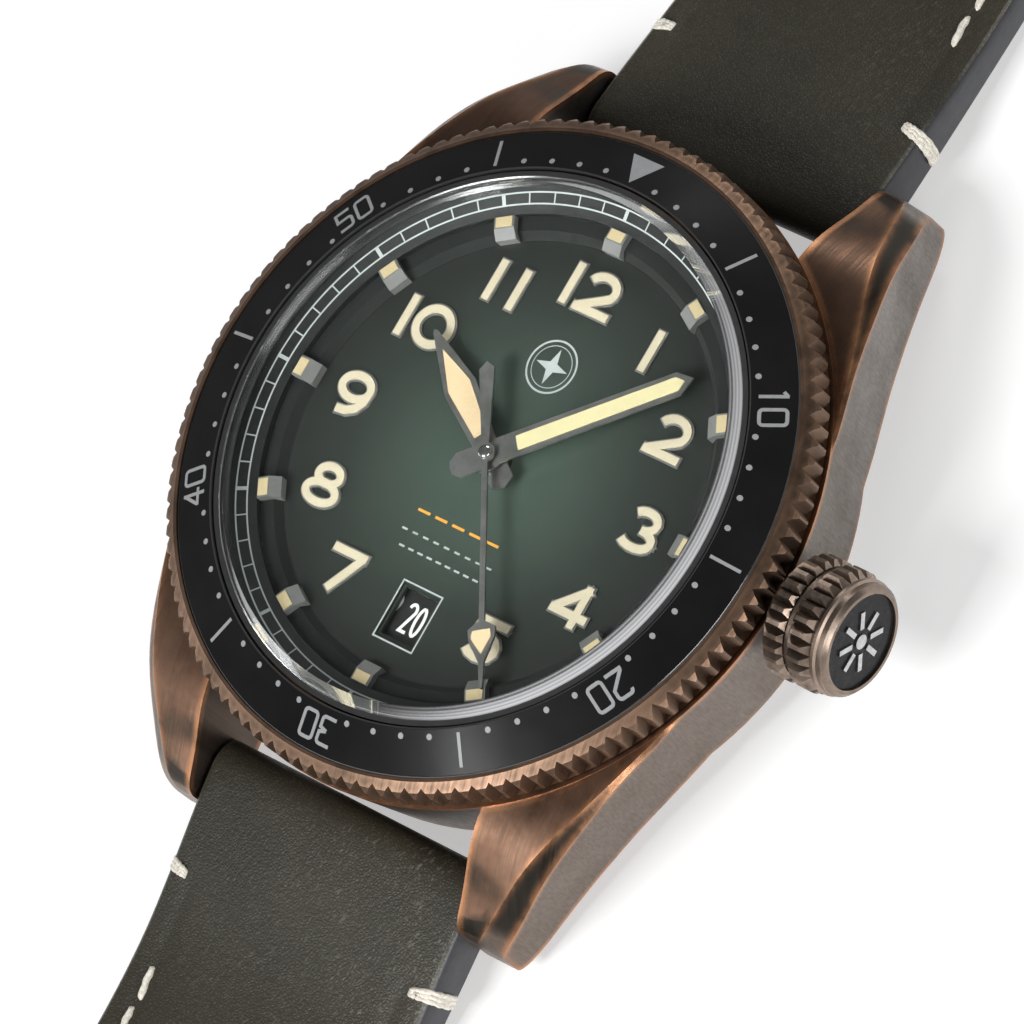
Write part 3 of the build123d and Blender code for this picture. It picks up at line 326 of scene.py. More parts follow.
def crystal_glass():
    """Clear sapphire with an anti-reflection coat and a glossy ground rim, with a painted white highlight on the
    rim's +X side and a thin white line round the outer top edge, partly frosted ground edge and partly a painted
    highlight; shadow rays pass straight through.
    """
    s = Shader("crystal_sapphire")
    nodes, links = s.tree.nodes, s.tree.links

    def blend(fac, first, second):
        made = nodes.new("ShaderNodeMixShader")
        links.new(fac, made.inputs[0])
        links.new(first.outputs[0], made.inputs[1])
        links.new(second.outputs[0], made.inputs[2])
        return made

    clear = s.node("ShaderNodeBsdfRefraction", IOR=1.77, Roughness=0.0, Color=(0.97, 0.985, 0.98, 1))
    gloss = s.node("ShaderNodeBsdfGlossy", Roughness=0.02, Color=(1, 1, 1, 1))
    body = blend(s.node("ShaderNodeFresnel", IOR=1.25).outputs[0], clear, gloss)
    ground = s.node("ShaderNodeBsdfGlossy", Roughness=0.12, Color=(0.95, 0.95, 0.96, 1))
    edge = s.node("ShaderNodeBsdfDiffuse", Color=(0.85, 0.85, 0.87, 1))
    at = s.node("ShaderNodeSeparateXYZ", Vector=s.place())
    radius = s.distance(at.outputs[0], at.outputs[1])
    rim = s.step(radius, 16.13 * MM, 16.17 * MM)
    body = blend(s.math("MULTIPLY", rim, s.range(s.noise(s.place(), 500, 2.0), 0.2, 0.32)), body, ground)
    # White diffuse mixed into the rim on its +X side only, stronger towards the outer edge and in fine rings: a
    # painted highlight.
    painted_highlight_side = s.math("MULTIPLY", rim, s.step(at.outputs[0], 1.0 * MM, 12.0 * MM))
    outer = s.step(radius, 16.25 * MM, 16.5 * MM)
    painted_highlight_rings = s.math("ADD", s.math("SINE", s.math("MULTIPLY", radius, 2 * math.pi / (0.15 * MM))), 1.0)
    painted_highlight_strength = s.math("ADD", s.math("MULTIPLY", outer, 0.3), s.math("MULTIPLY", painted_highlight_rings, 0.14))
    body = blend(s.math("MULTIPLY", painted_highlight_side, s.math("ADD", painted_highlight_strength, 0.04)), body, edge)
    # Thin white diffuse ring round the outer top edge: partly the frosted ground edge, partly a painted highlight.
    line = s.math("MULTIPLY", s.step(radius, 16.60 * MM, 16.66 * MM), s.step(at.outputs[2], 12.7 * MM, 12.8 * MM))
    body = blend(s.math("MULTIPLY", line, 0.55), body, edge)
    path = nodes.new("ShaderNodeLightPath")
    both = blend(path.outputs["Is Shadow Ray"], body, nodes.new("ShaderNodeBsdfTransparent"))
    links.new(both.outputs[0], nodes["Material Output"].inputs["Surface"])
    return s.mat


def leather(name, dark, light, roughness=0.5):
    """Fine-grained leather: tiny cells, short slanting creases, pores, slow colour change, and painted glints as
    pale specks on the crease peaks.
    """
    s = Shader(name)
    at = s.place()
    cells = s.node("ShaderNodeTexVoronoi", Vector=at, Scale=4600.0)
    cells.feature = "DISTANCE_TO_EDGE"
    pebble = s.math("MINIMUM", s.math("MULTIPLY", cells.outputs["Distance"], 3.5), 1.0)
    turn = s.node("ShaderNodeMapping", Vector=at)
    turn.inputs["Rotation"].default_value = (0, 0, math.radians(-72))
    slant = s.node("ShaderNodeMapping", Vector=turn.outputs[0])
    slant.inputs["Scale"].default_value = (1.0, 2.0, 1.0)
    crease = s.noise(slant.outputs[0], 1900, 4.0, 0.65)
    broad = s.noise(at, 90, 3.0, 0.6)
    where = s.node("ShaderNodeSeparateXYZ", Vector=at)
    # Pale specks on the crease peaks, in patches, stronger towards +X and on the 6 o'clock strap: painted glints.
    across = s.step(where.outputs[0], -8.0 * MM, 9.0 * MM)
    glint_weight_six_side = s.math("ADD", s.math("MULTIPLY", s.step(where.outputs[1], 5.0 * MM, -5.0 * MM), 0.8), 0.35)
    painted_crease_glints = s.math("MULTIPLY", s.step(s.noise(at, 260, 3.0, 0.6), 0.35, 0.6), s.step(crease, 0.55, 0.68))
    painted_crease_glints = s.math("MULTIPLY", painted_crease_glints, s.math("ADD", s.math("MULTIPLY", across, 0.5), 0.08))
    painted_crease_glints = s.math("MULTIPLY", painted_crease_glints, glint_weight_six_side)
    colour = s.ramp(broad, [(0.35, dark), (0.65, light)])
    colour = s.mix(s.range(pebble, 0.45, 0.0), colour, tuple(0.45 * c for c in dark))
    colour = s.mix(painted_crease_glints, colour, (0.17, 0.16, 0.13))
    s.set(Base_Color=colour, Roughness=s.range(crease, roughness - 0.1, roughness + 0.1), Specular_IOR_Level=0.38)
    first = s.bump(pebble, 0.00002, 0.6)
    s.set(Normal=s.bump(crease, 0.00007, 0.55, first))
    return s.mat


STRAP_TOP = leather("strap_leather_top", (0.032, 0.028, 0.0185), (0.048, 0.042, 0.028), 0.45)
STRAP_LINING = leather("strap_leather_lining", (0.07, 0.05, 0.035), (0.11, 0.08, 0.055), 0.65)
# Corner strip between top and painted edge, lighter grey-brown: partly burnished leather, partly a painted
# highlight.
STRAP_CORNER_RUB_AND_HIGHLIGHT = leather("strap_leather_corner_rub_and_highlight", (0.035, 0.032, 0.025), (0.16, 0.15, 0.13), 0.35)
STRAP_EDGE = paint("strap_edge_paint", (0.030, 0.031, 0.037), 0.38, 0.3, bump=0.00003, scale=1200)


def thread_paint():
    s = Shader("stitch_thread")
    at = s.place()
    fibre = s.noise(at, 5200, 3.0, 0.65)
    s.set(Base_Color=s.ramp(fibre, [(0.3, (0.55, 0.50, 0.42)), (0.65, (0.88, 0.84, 0.75))]), Roughness=0.75)
    s.set(Sheen_Weight=0.2, Normal=s.bump(fibre, 0.00006, 0.7))
    return s.mat


THREAD = thread_paint()


def dress(names, material):
    for name in names.split():
        mesh = NODES[name].data
        mesh.materials.clear()
        mesh.materials.append(material)


dress("case_middle buckle_frame buckle_tongue", BRONZE)
dress("bezel_ring", BRONZE_KNURL)
dress("crown", CROWN_METAL)
dress("case_back spring_bar_12 spring_bar_6 buckle_spring_bar crown_tube winding_stem winding_pinion "
      "bezel_click_spring movement_screws rotor_post", STEEL)
dress("movement_ring main_plate train_bridge barrel_bridge balance_cock rotor ratchet_wheel crown_wheel "
      "barrel_arbor pallet_fork cannon_pinion", NICKEL)
dress("centre_wheel third_wheel fourth_wheel escape_wheel balance_wheel hour_wheel minute_wheel "
      "barrel_drum", BRASS)
dress("hairspring mainspring", BLUED)
dress("hour_hand minute_hand seconds_hand", HAND_GREY)
dress("numeral_frames", FRAME_GREY)
dress("hour_blocks", BLOCK_GREY)
dress("numeral_lume", CREAM)
dress("hour_block_lume", TAN)
dress("hour_hand_lume seconds_hand_lume", APRICOT)
dress("minute_hand_lume", YELLOW)
dress("bezel_markers", MARKER)
dress("bezel_insert", ceramic())
dress("dial_plate", dial_paint())
dress("date_disc", DATE_BLACK)
dress("flange_ring", FLANGE)
dress("case_back_gasket crystal_gasket", RUBBER)
dress("crown_inlay", crown_inlay_lacquer())
dress("crystal", crystal_glass())


# ---------------------------------------------------------------- mesh helpers
def new_object(name, verts, faces, materials, body, smooth=True):
    mesh = bpy.data.meshes.new(name)
    mesh.from_pydata(verts, [], faces)
    mesh.validate()
    mesh.update()
    for m in materials:
        mesh.materials.append(m)
    if smooth:
        mesh.polygons.foreach_set("use_smooth", [True] * len(mesh.polygons))
    obj = bpy.data.objects.new(name, mesh)
    bpy.context.scene.collection.objects.link(obj)
    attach(obj, body)
    return obj


class Patches:
    """Thin printed shapes laid on a surface whose height is a function of x and y (mm)."""

    def __init__(self, height):
        self.height, self.verts, self.faces = height, [], []

    def polygon(self, points):
        start = len(self.verts)
        self.verts += [Vector((x, y, self.height(x, y))) * MM for x, y in points]
        self.faces.append(tuple(range(start, start + len(points))))

    def arc(self, r0, r1, a0, a1, steps):
        """Band between two radii; angles clockwise from 12 o'clock."""
        for i in range(steps):
            a, b = (math.radians(a0 + (a1 - a0) * (i + k) / steps) for k in (0, 1))
            self.polygon([(r * math.sin(t), r * math.cos(t)) for r, t in ((r0, a), (r0, b), (r1, b), (r1, a))])

    def line(self, points, width):
        """Ribbon of constant width along a line of points, with mitred corners."""
        left, right = [], []
        for i, (x, y) in enumerate(points):
            before = Vector(points[i]) - Vector(points[max(i - 1, 0)])
            after = Vector(points[min(i + 1, len(points) - 1)]) - Vector(points[i])
            before = before.normalized() if before.length else after.normalized()
            after = after.normalized() if after.length else before
            way = (before + after).normalized()
            reach = width / 2 / max(way.dot(before), 0.4)
            left.append((x - way.y * reach, y + way.x * reach))
            right.append((x + way.y * reach, y - way.x * reach))
        for i in range(len(points) - 1):
            self.polygon([left[i], right[i], right[i + 1], left[i + 1]])

    def make(self, name, material, body):
        return new_object(name, self.verts, self.faces, [material], body, smooth=False)


def arc_points(cx, cy, rx, ry, start, end, steps=10):
    angles = [math.radians(start + (end - start) * i / steps) for i in range(steps + 1)]
    return [(cx + rx * math.cos(a), cy + ry * math.sin(a)) for a in angles]


def turned(x, y, angle):
    return x * math.cos(angle) - y * math.sin(angle), x * math.sin(angle) + y * math.cos(angle)


def date_digit(char):
    """Centre lines of a tall, narrow printed digit, in mm, centred at the origin."""
    w, h = 0.25, 0.86
    shapes = {
        "0": [arc_points(0, 0, w, h, 90, 450, 28)],
        "1": [[(-0.14, 0.62), (0.05, h), (0.05, -h)]],
        "2": [arc_points(0, 0.5, w, 0.36, 165, -20) + [(-w, -h), (w, -h)]],
        "3": [arc_points(0, 0.43, w, 0.43, 150, -90), arc_points(0, -0.43, w, 0.43, 90, -150)],
        "4": [[(0.1, -h), (0.1, h)], [(0.0, h), (-w, -0.3)], [(-w, -0.42), (w + 0.05, -0.42)]],
        "5": [[(w, h), (-w, h), (-w, 0.1)] + arc_points(0, -0.3, w, 0.56, 100, -150, 14)],
        "6": [arc_points(0, -0.38, w, 0.48, 90, 450, 20), [(0.12, h), (-w, -0.2)]],
        "7": [[(-w, h), (w, h), (-0.06, -h)]],
        "8": [arc_points(0, 0.43, w - 0.03, 0.41, 90, 450, 20), arc_points(0, -0.44, w, 0.42, 90, 450, 20)],
        "9": [arc_points(0, 0.38, w, 0.48, 90, 450, 20), [(-0.12, -h), (w, 0.2)]],
    }
    return shapes[char]


# ---------------------------------------------------------------- dial printing
TRACK_IN, TRACK_OUT = 15.55, 16.3
FLANGE_LOW, FLANGE_HIGH = (15.03, 10.05), (16.72, 10.55)


def flange_height(x, y):
    (r0, z0), (r1, z1) = FLANGE_LOW, FLANGE_HIGH
    return z0 + (z1 - z0) * (math.hypot(x, y) - r0) / (r1 - r0) + 0.012


def minute_track():
    track = Patches(flange_height)
    for r in (TRACK_IN, TRACK_OUT - 0.09):
        track.arc(r, r + 0.09, 0, 360, 240)
    for minute in range(60):
        half = 0.42 if minute % 5 == 0 else 0.16
        track.arc(TRACK_IN, TRACK_OUT, 6 * minute - half, 6 * minute + half, 3)
    track.make("minute_track", PRINT, "case")


def dial_height(x, y):
    return 9.112


def dial_printing():
    frame_lines = Patches(dial_height)
    low, high, half = -12.03, -8.40, 1.47
    for x0, y0, x1, y1 in ((-half, low, half, low), (-half, high, half, high)):
        frame_lines.line([(x0 - 0.05, y0), (x1 + 0.05, y1)], 0.1)
    for x in (-half, half):
        frame_lines.line([(x, low + 0.05), (x, high - 0.05)], 0.1)
    frame_lines.make("date_frame", PRINT, "case")
    emblem = Patches(dial_height)
    emblem.arc(1.55, 1.67, 0, 360, 72)
    emblem.arc(1.28, 1.33, 0, 360, 72)
    for i in range(4):
        turn = math.radians(90 * i)
        spike = [(0, 0), (0.26, 0.26), (0, 1.15), (-0.26, 0.26)]
        emblem.polygon([turned(x, y, turn) for x, y in spike])
    for v in emblem.verts:
        v.y += 6.3 * MM
    emblem.make("dial_emblem", PRINT, "case")
    rules = Patches(dial_height)
    for x in (-2.6, -1.3, 0.0, 1.3, 2.6):
        rules.line([(x - 0.45, -4.4), (x + 0.45, -4.4)], 0.16)
    rules.make("dial_rule_orange", ORANGE, "case")
    rules = Patches(dial_height)
    for y, half, step in ((-5.74, 3.2, 0.8), (-6.7, 2.8, 0.7)):
        count = round(2 * half / step)
        for i in range(count + 1):
            x = -half + i * step
            rules.line([(x - 0.2, y), (x + 0.2, y)], 0.12)
    rules.make("dial_rules_pale", PRINT, "case")


def date_numbers():
    numbers = Patches(lambda x, y: 8.508)
    shown, advance = 20, 0.74
    for day in range(1, 32):
        turn = math.radians((day - shown) * 360 / 31)
        text = str(day)
        for i, char in enumerate(text):
            shift = (i - (len(text) - 1) / 2) * advance + 0.08
            for line in date_digit(char):
                points = [(x + shift, y - 10.2) for x, y in line]
                numbers.line([turned(x, y, turn) for x, y in points], 0.2)
    numbers.make("date_numbers", paint("date_white", (0.8, 0.8, 0.78), 0.5, 0.05), "date")


minute_track()
dial_printing()
date_numbers()


# ---------------------------------------------------------------- leather straps
BAR_Y, BAR_Z = 22.2, 3.75
HALF_WIDTH, TAPER = 10.35, 0.018


class StrapShape:
    """Centre line, width and thickness of one strap half, as functions of distance along it (mm)."""

    def __init__(self, path, length, tip, sign):
        self.sign, self.tip, self.end = sign, tip, BAR_Y + length
        self.knots = path

    def centre(self, y):
        """Height of the centre line, smoothly joined between knots."""
        k = self.knots
        if y <= k[0][0]:
            return k[0][1]
        for i in range(len(k) - 1):
            (y0, z0), (y1, z1) = k[i], k[i + 1]
            if y <= y1:
                slopes = []
                for j in (i, i + 1):
                    a, b = k[max(j - 1, 0)], k[min(j + 1, len(k) - 1)]
                    slopes.append((b[1] - a[1]) / (b[0] - a[0]))
                t, d = (y - y0) / (y1 - y0), y1 - y0
                return ((2 * t ** 3 - 3 * t ** 2 + 1) * z0 + (t ** 3 - 2 * t ** 2 + t) * d * slopes[0]
                        + (3 * t ** 2 - 2 * t ** 3) * z1 + (t ** 3 - t ** 2) * d * slopes[1])
        return k[-1][1]

    def half_thickness(self, y):
        t = min(max((y - BAR_Y) / 15.0, 0.0), 1.0)
        return 1.7 + (1.3 - 1.7) * t * t * (3 - 2 * t)

    def half_width(self, y):
        w = HALF_WIDTH - TAPER * (y - BAR_Y)
        if self.tip and y > self.end - 7.0:
            k = (y - self.end + 7.0) / 7.0
            w *= math.sqrt(max(1 - k ** 2.2, 0.0))
        return w

    def frame(self, y):
        """Point on the centre line with the slope there, as unit vectors along and up."""
        e = 0.3
        z0, z1 = self.centre(y - e), self.centre(y + e)
        along = Vector((0, 2 * e, z1 - z0)).normalized()
        up = Vector((0, -along.z, along.y))
        return Vector((0, y, self.centre(y))), along, up

    def put(self, x, y, lift):
        """Point at x across, y along and lift above the centre line, in metres."""
        at, _, up = self.frame(y)
        p = at + up * lift + Vector((x, 0, 0))
        return Vector((p.x, self.sign * p.y, p.z)) * MM

    def crown(self, x, y):
        """Height of the top skin over the centre line at x across."""
        u = abs(x) / max(self.half_width(y), 0.01)
        pad = 0.22 if y < BAR_Y + 45 else 0.08
        from_stitches = self.half_width(y) - abs(x) - STITCH_X
        groove = 0.1 * math.exp(-(from_stitches / 0.4) ** 2) if y > CROSS_Y else 0.0
        return self.half_thickness(y) - pad + pad * (1 - min(u, 1) ** 2) - groove


CROSS = 60
STITCH_X = 1.95
STITCH_START = 34.3
STITCH_PITCH = 2.65
STITCH_LEN = 2.15
CROSS_Y = 28.3


def section(shape, y):
    """Loop of (x, lift) round the strap at y: crowned top, soft corners, straight edge, flat lining."""
    w, h = shape.half_width(y), shape.half_thickness(y)
    corner = min(0.5, 0.4 * w)
    loop = []
    for i in range(CROSS + 1):
        x = (w - corner) * (1 - 2 * i / CROSS)
        loop.append((x, shape.crown(x, y), 0))
    side = []
    top = shape.crown(w - corner, y)
    for a in (20, 45, 70):
        r = math.radians(a)
        side.append((-(w - corner) - corner * math.sin(r), top - corner * (1 - math.cos(r)), 0 if a < 40 else 1))
    side.append((-w, top - corner - 0.1, 1))
    side.append((-w, -h + 0.35, 1))
    side.append((-w + 0.12, -h + 0.12, 1))
    side.append((-w + 0.35, -h, 2))
    loop += side
    for i in range(1, 10):
        loop.append((-(w - 0.35) * (1 - i / 5), -h, 2))
    loop += [(-x, z, m) for x, z, m in reversed(side)]
    return loop


def tube_mesh(at, axis, radius, length, sides=36):
    """Closed cylinder as verts and faces, in mm, for cutting holes."""
    axis = Vector(axis).normalized()
    side = axis.orthogonal().normalized()
    other = axis.cross(side)
    verts = []
    for end in (-0.5, 0.5):
        for k in range(sides):
            t = 2 * math.pi * k / sides
            out = side * (radius * math.cos(t)) + other * (radius * math.sin(t))
            verts.append(Vector(at) + axis * (end * length) + out)
    faces = [(k, (k + 1) % sides, sides + (k + 1) % sides, sides + k) for k in range(sides)]
    return verts, faces + [tuple(reversed(range(sides))), tuple(range(sides, 2 * sides))]


def box_mesh(low, high):
    verts = [Vector((x, y, z)) for z in (low[2], high[2])
             for y in (low[1], high[1]) for x in (low[0], high[0])]
    return verts, [(0, 2, 3, 1), (4, 5, 7, 6), (0, 1, 5, 4), (2, 6, 7, 3), (0, 4, 6, 2), (1, 3, 7, 5)]


def join(verts, faces, more_verts, more_faces):
    """Add one mesh's vertices and faces to another's lists."""
    base = len(verts)
    verts.extend(more_verts)
    faces.extend(tuple(base + i for i in face) for face in more_faces)


def cut(obj, shapes):
    """Take the closed shapes out of a strap; the new walls get the edge paint."""
    verts, faces = [], []
    for v, f in shapes:
        join(verts, faces, [p * MM for p in v], f)
    mesh = bpy.data.meshes.new("cutter")
    mesh.from_pydata(verts, [], faces)
    for m in obj.data.materials:
        mesh.materials.append(m)
    mesh.polygons.foreach_set("material_index", [1] * len(mesh.polygons))
    tool = bpy.data.objects.new("cutter", mesh)
    bpy.context.scene.collection.objects.link(tool)
    modifier = obj.modifiers.new("holes", "BOOLEAN")
    modifier.operation, modifier.solver, modifier.object = "DIFFERENCE", "EXACT", tool
    modifier.material_mode = "INDEX"
    made = bpy.data.meshes.new_from_object(obj.evaluated_get(bpy.context.evaluated_depsgraph_get()))
    obj.modifiers.clear()
    obj.data = made
    bpy.data.objects.remove(tool)


# Material where two kinds of surface meet: top to edge is the lighter corner strip, partly burnished leather and
# partly a painted highlight, edge to lining stays edge
BORDERS = {frozenset((0, 1)): 3, frozenset((1, 2)): 1}
TIP_LENGTH = 8


def strap_mesh(name, shape, node, body, holes):
    verts, faces, marks = [], [], []
    quarter = [math.radians(a) for a in range(4, 90, 11)]
    rows = [(BAR_Y, math.cos(a) * -1.7, math.sin(a)) for a in quarter]
    y = BAR_Y
    while y < shape.end - TIP_LENGTH:
        rows.append((y, 0, 1))
        y += 0.8
    steps = 26
    rows += [(shape.end - TIP_LENGTH + TIP_LENGTH * math.sin(math.radians(90 * i / steps)), 0, 1)
             for i in range(steps)]
    rows.append((shape.end - 0.01 if shape.tip else shape.end, 0, 1))
    if not shape.tip:
        rows += [(shape.end, math.cos(a) * 1.3, math.sin(a)) for a in reversed(quarter)]
    for y, past, squeeze in rows:
        loop = section(shape, y)
        verts += [shape.put(x, y + past, z * squeeze) for x, z, m in loop]
    n = len(loop)
    kinds = [m for x, z, m in loop]
    for r in range(len(rows) - 1):
        for i in range(n):
            j = (i + 1) % n
            quad = (r * n + i, r * n + j, (r + 1) * n + j, (r + 1) * n + i)
            faces.append(quad if shape.sign > 0 else tuple(reversed(quad)))
            marks.append(BORDERS.get(frozenset((kinds[i], kinds[j])), kinds[i]))
    for first, flip in ((0, -1), ((len(rows) - 1) * n, 1)):
        cap = tuple(first + i for i in range(n))
        faces.append(cap if shape.sign == flip else tuple(reversed(cap)))
        marks.append(1)
    obj = new_object(name, verts, faces, [STRAP_TOP, STRAP_EDGE, STRAP_LINING, STRAP_CORNER_RUB_AND_HIGHLIGHT], body)
    obj.data.polygons.foreach_set("material_index", marks)
    cut(obj, holes)
    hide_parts(node)
    return obj


LOW = 1.32
END_12, END_6 = 97.2, 137.2
SHAPE_12 = StrapShape([(BAR_Y, BAR_Z), (37.5, LOW + 0.3), (48.0, LOW + 0.12), (68.0, LOW + 1.1),
                       (80.0, LOW + 1.1), (END_12, LOW + 1.1)], 75.0, False, 1)
SHAPE_6 = StrapShape([(BAR_Y, BAR_Z), (33.5, LOW + 0.3), (48.0, LOW + 0.12), (68.0, LOW),
                      (END_6, LOW)], 115.0, True, -1)
BAR_HOLES = [tube_mesh((0, side * BAR_Y, BAR_Z), (1, 0, 0), 0.8, 30) for side in (1, -1)]

strap_mesh("leather_strap_12", SHAPE_12, "strap_12", "strap_12",
           [BAR_HOLES[0], tube_mesh((0, END_12, LOW + 1.1), (1, 0, 0), 0.82, 30),
            box_mesh((-1.3, END_12 - 3.2, -1), (1.3, END_12 + 3, 9))])
strap_mesh("leather_strap_6", SHAPE_6, "strap_6", "strap_6",
           [BAR_HOLES[1]] + [tube_mesh((0, -(74.2 + 6.5 * i), 2), (0, 0, 1), 1.1, 12) for i in range(7)])


def twisted(points, radius, plies=3, sides=12):
    """Verts and faces of one stitch of twisted thread through the points."""
    verts, faces = [], []
    count = len(points)
    for i, p in enumerate(points):
        a, b = points[max(i - 1, 0)], points[min(i + 1, count - 1)]
        along = (b - a).normalized()
        side = Vector((1, 0, 0)).cross(along)
        side = side.normalized() if side.length > 0.2 else Vector((0, 1, 0)).cross(along).normalized()
        other = along.cross(side)
        r = radius * (0.5 if i in (0, count - 1) else 1.0)
        for k in range(sides):
            t = 2 * math.pi * k / sides
            lobe = r * (1 + 0.16 * math.cos(plies * t - 1.25 * i))
            verts.append(p + side * (lobe * math.cos(t)) + other * (lobe * math.sin(t)))
    for i in range(count - 1):
        for k in range(sides):
            j = (k + 1) % sides
            faces.append((i * sides + k, i * sides + j, (i + 1) * sides + j, (i + 1) * sides + k))
    faces.append(tuple(reversed(range(sides))))
    faces.append(tuple((count - 1) * sides + k for k in range(sides)))
    return verts, faces


def refine(points, steps):
    """More points along a polyline, rounded by averaging."""
    dense = []
    for a, b in zip(points, points[1:]):
        dense += [a.lerp(b, i / steps) for i in range(steps)]
    dense.append(points[-1])
    for _ in range(3):
        middle = [(dense[i - 1] + dense[i] * 2 + dense[i + 1]) / 4 for i in range(1, len(dense) - 1)]
        dense = [dense[0]] + middle + [dense[-1]]
    return dense


def stitches(name, shape, body, stop):
    verts, faces = [], []

    for side in (-1, 1):
        y = STITCH_START
        while y < stop:
            points = []
            for i in range(13):
                t = i / 12
                yy = y + STITCH_LEN * t
                x = side * (shape.half_width(yy) - STITCH_X + 0.12 - 0.24 * t)
                dip = 0.30 * (1 - math.sin(math.pi * t) ** 0.45) - 0.1
                points.append(shape.put(x, yy, shape.crown(x, yy) - dip))
            join(verts, faces, *twisted(points, 0.21 * MM))
            y += STITCH_PITCH
        w, h = shape.half_width(CROSS_Y), shape.half_thickness(CROSS_Y)
        top = shape.crown(w - 1.5, CROSS_Y)
        route = [(w - 1.45, top - 0.25), (w - 1.2, top + 0.1), (w - 0.65, top + 0.06), (w - 0.12, top - 0.3),
                 (w + 0.14, top - 0.9), (w + 0.14, 0.0), (w + 0.1, -h + 0.5), (w - 0.5, -h - 0.02)]
        for k in (-0.32, 0.0, 0.32):
            points = []
            for i, (x, z) in enumerate(route):
                spread = min(i / 3.0, 1.0)
                y = CROSS_Y + k * (0.35 + 0.5 * spread) + 0.3 * (1 - spread)
                points.append(shape.put(side * x, y, z))
            join(verts, faces, *twisted(refine(points, 4), 0.165 * MM))
    obj = new_object(name, verts, faces, [THREAD], body)


stitches("stitching_12", SHAPE_12, "strap_12", 91.0)
stitches("stitching_6", SHAPE_6, "strap_6", 134.5)


def keeper_loop(z_low, z_high, half, corner):
    """Points round a keeper's rounded rectangle, each with its outward direction."""
    loop = []
    for cx, cz, start in ((1, 1, 0), (-1, 1, 90), (-1, -1, 180), (1, -1, 270)):
        at = Vector((cx * (half - corner), 0, (z_low + z_high) / 2 + cz * ((z_high - z_low) / 2 - corner)))
        for a in range(0, 91, 15):
            out = Vector((math.cos(math.radians(start + a)), 0, math.sin(math.radians(start + a))))
            loop.append((at + out * corner, out))
    return loop


# Keeper cross-section (along, outward) in mm, and the material of each of its sides
KEEPER_SECTION = [(-2.55, 0.0), (-1.9, 0.03), (-0.6, 0.03), (0.6, 0.03), (1.9, 0.03), (2.55, 0.0),
                  (2.85, -0.12), (2.96, -0.35), (2.96, -0.72), (2.85, -0.86), (2.55, -0.9), (0.0, -0.9),
                  (-2.55, -0.9), (-2.85, -0.86), (-2.96, -0.72), (-2.96, -0.35), (-2.85, -0.12)]
KEEPER_KINDS = [0, 0, 0, 0, 0, 1, 1, 1, 1, 1, 2, 2, 1, 1, 1, 1, 1]


def keeper_mesh(name, y, node, body):
    """Leather loop round the strap: crowned outside, painted edges, thin lining, joined under the strap."""
    half = HALF_WIDTH - TAPER * (y - BAR_Y) + 1.22
    loop = keeper_loop(0.08, 7.56, half, 0.95)
    dense = []
    for i, (p, out) in enumerate(loop):
        q, out_q = loop[(i + 1) % len(loop)]
        steps = max(int((q - p).length / 0.8), 1)
        dense += [(p.lerp(q, k / steps), out.lerp(out_q, k / steps).normalized()) for k in range(steps)]
    verts, faces, marks = [], [], []
    n = len(KEEPER_SECTION)
    for p, out in dense:
        verts += [(p + out * depth + Vector((0, y + along, 0))) * MM for along, depth in KEEPER_SECTION]
    for i in range(len(dense)):
        j = (i + 1) % len(dense)
        for k in range(n):
            m = (k + 1) % n
            faces.append((i * n + k, j * n + k, j * n + m, i * n + m))
            marks.append(KEEPER_KINDS[k])
    obj = new_object(name, verts, faces, [STRAP_TOP, STRAP_EDGE, STRAP_LINING], body)
    obj.data.polygons.foreach_set("material_index", marks)
    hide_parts(node)
    verts, faces = [], []
    for across in range(-7, 8):
        for edge in (-2.0, 2.0):
            x = across * 1.2
            points = []
            for i in range(9):
                dip = 0.16 * (1 - math.sin(math.pi * i / 8) ** 0.45)
                points.append(Vector((x + 0.9 * (i / 8 - 0.5), y + edge, 7.6 - dip)) * MM)
            join(verts, faces, *twisted(points, 0.13 * MM))
    seam = new_object(name + "_stitches", verts, faces, [THREAD], body)


keeper_mesh("leather_keeper_fixed", 87.2, "strap_keeper_fixed", "strap_12")
keeper_mesh("leather_keeper_free", 74.2, "strap_keeper_free", "keeper")


# ---------------------------------------------------------------- hub pin
def lathe(name, profile, material, body, sides=40):
    """Closed surface of revolution about Z through (radius, height) points in mm, ends on the axis."""
    verts, faces = [], []
    inner = profile[1:-1]
    for r, z in inner:
        for k in range(sides):
            t = 2 * math.pi * k / sides
            verts.append((r * math.cos(t) * MM, r * math.sin(t) * MM, z * MM))
    ends = [len(verts), len(verts) + 1]
    verts += [(0, 0, profile[0][1] * MM), (0, 0, profile[-1][1] * MM)]
    for i in range(len(inner) - 1):
        for k in range(sides):
            j = (k + 1) % sides
            faces.append((i * sides + k, i * sides + j, (i + 1) * sides + j, (i + 1) * sides + k))
    last = (len(inner) - 1) * sides
    for k in range(sides):
        j = (k + 1) % sides
        faces.append((ends[0], j, k))
        faces.append((ends[1], last + k, last + j))
    return new_object(name, verts, faces, [material], body)


HUB_PROFILE = [(0, 10.52), (0.42, 10.52), (0.42, 10.68), (0.36, 10.76), (0.2, 10.8), (0, 10.81)]
HUB = lathe("hand_hub_pin", HUB_PROFILE, HUB_STEEL, "seconds")


# ---------------------------------------------------------------- studio
LAMP_DISTANCE = 0.9


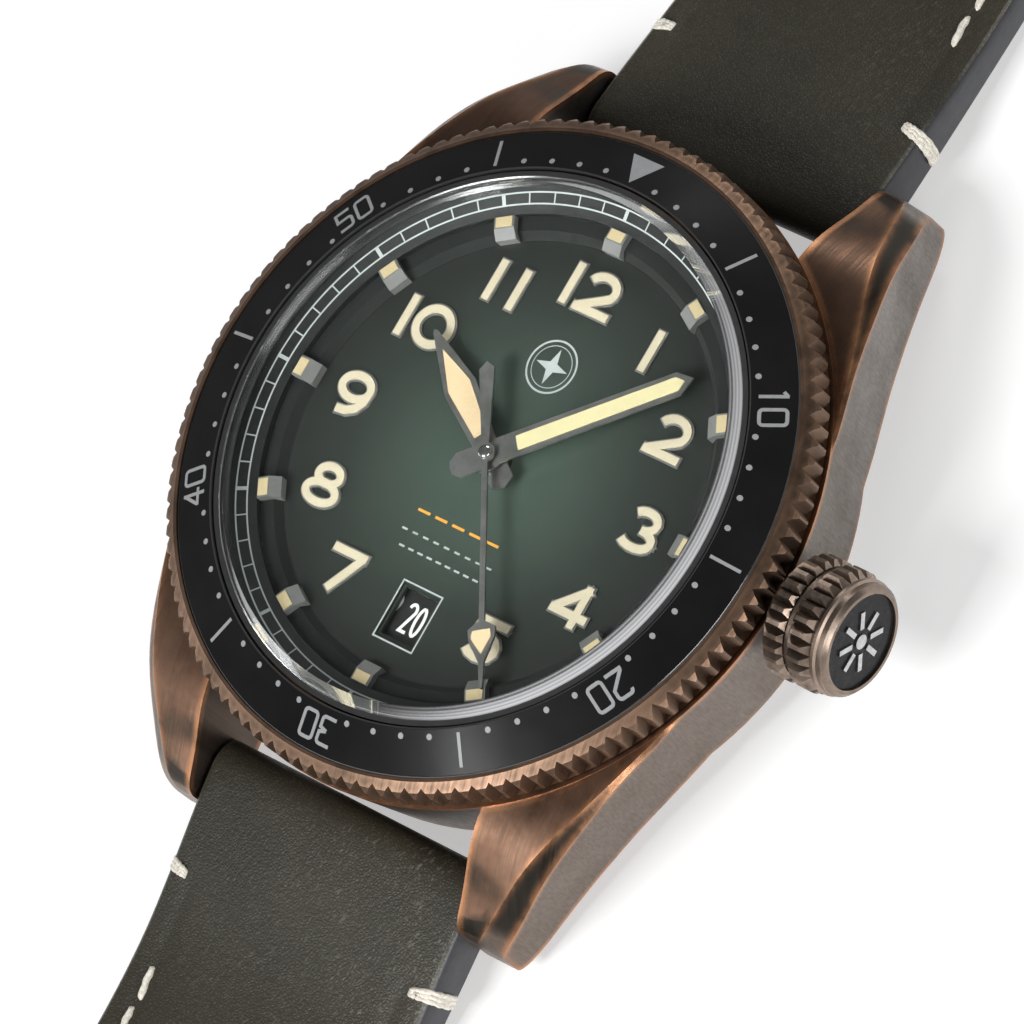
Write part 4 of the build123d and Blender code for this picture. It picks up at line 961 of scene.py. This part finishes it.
def floor():
    bpy.ops.mesh.primitive_plane_add(size=3.0, location=(0, 0, -0.0002))
    plane = bpy.context.object
    plane.name = "studio_floor"
    s = Shader("studio_floor")
    grain = s.noise(s.place(), 60, 3.0)
    s.set(Base_Color=s.ramp(grain, [(0.3, (0.62, 0.62, 0.62)), (0.7, (0.65, 0.65, 0.65))]), Roughness=0.8)
    s.set(Emission_Color=(1, 1, 1, 1), Emission_Strength=0.46)
    plane.data.materials.append(s.mat)


def direction(azimuth, elevation):
    """Unit vector from the watch, for angles in degrees."""
    a, e = math.radians(azimuth), math.radians(elevation)
    return Vector((math.cos(a) * math.cos(e), math.sin(a) * math.cos(e), math.sin(e)))


def softbox(name, azimuth, elevation, size, power):
    lamp = bpy.data.lights.new(name, "AREA")
    lamp.shape = "RECTANGLE"
    lamp.size, lamp.size_y = size
    lamp.energy = power
    obj = bpy.data.objects.new(name, lamp)
    way = direction(azimuth, elevation)
    obj.location = way * LAMP_DISTANCE
    obj.rotation_euler = way.to_track_quat("Z", "Y").to_euler()
    bpy.context.scene.collection.objects.link(obj)


def camera():
    way = direction(CAM_AZIMUTH, CAM_ELEVATION)
    lens = bpy.data.cameras.new("camera")
    lens.lens = CAM_LENS
    lens.sensor_width = 36.0
    lens.clip_start, lens.clip_end = 0.01, 10.0
    obj = bpy.data.objects.new("camera", lens)
    level = way.to_track_quat("Z", "Y").to_matrix().to_4x4()
    roll = Matrix.Rotation(-math.radians(CAM_ROLL), 4, "Z")
    obj.matrix_world = Matrix.Translation(CAM_TARGET + way * CAM_DISTANCE) @ level @ roll
    bpy.context.scene.collection.objects.link(obj)
    bpy.context.scene.camera = obj


def world():
    w = bpy.data.worlds.new("studio")
    w.use_nodes = True
    w.node_tree.nodes["Background"].inputs["Color"].default_value = (1, 1, 1, 1)
    w.node_tree.nodes["Background"].inputs["Strength"].default_value = 0.14
    bpy.context.scene.world = w


floor()
softbox("front_low", -12, 20, (0.5, 0.16), 4.5)
softbox("lower_lugs", 262, 50, (0.3, 0.3), 6.5)
softbox("upper_lugs", 110, 30, (0.3, 0.16), 1.6)
softbox("left_low", 212, 12, (0.5, 0.12), 1.2)
world()
camera()
bpy.context.scene.view_settings.view_transform = "Standard"
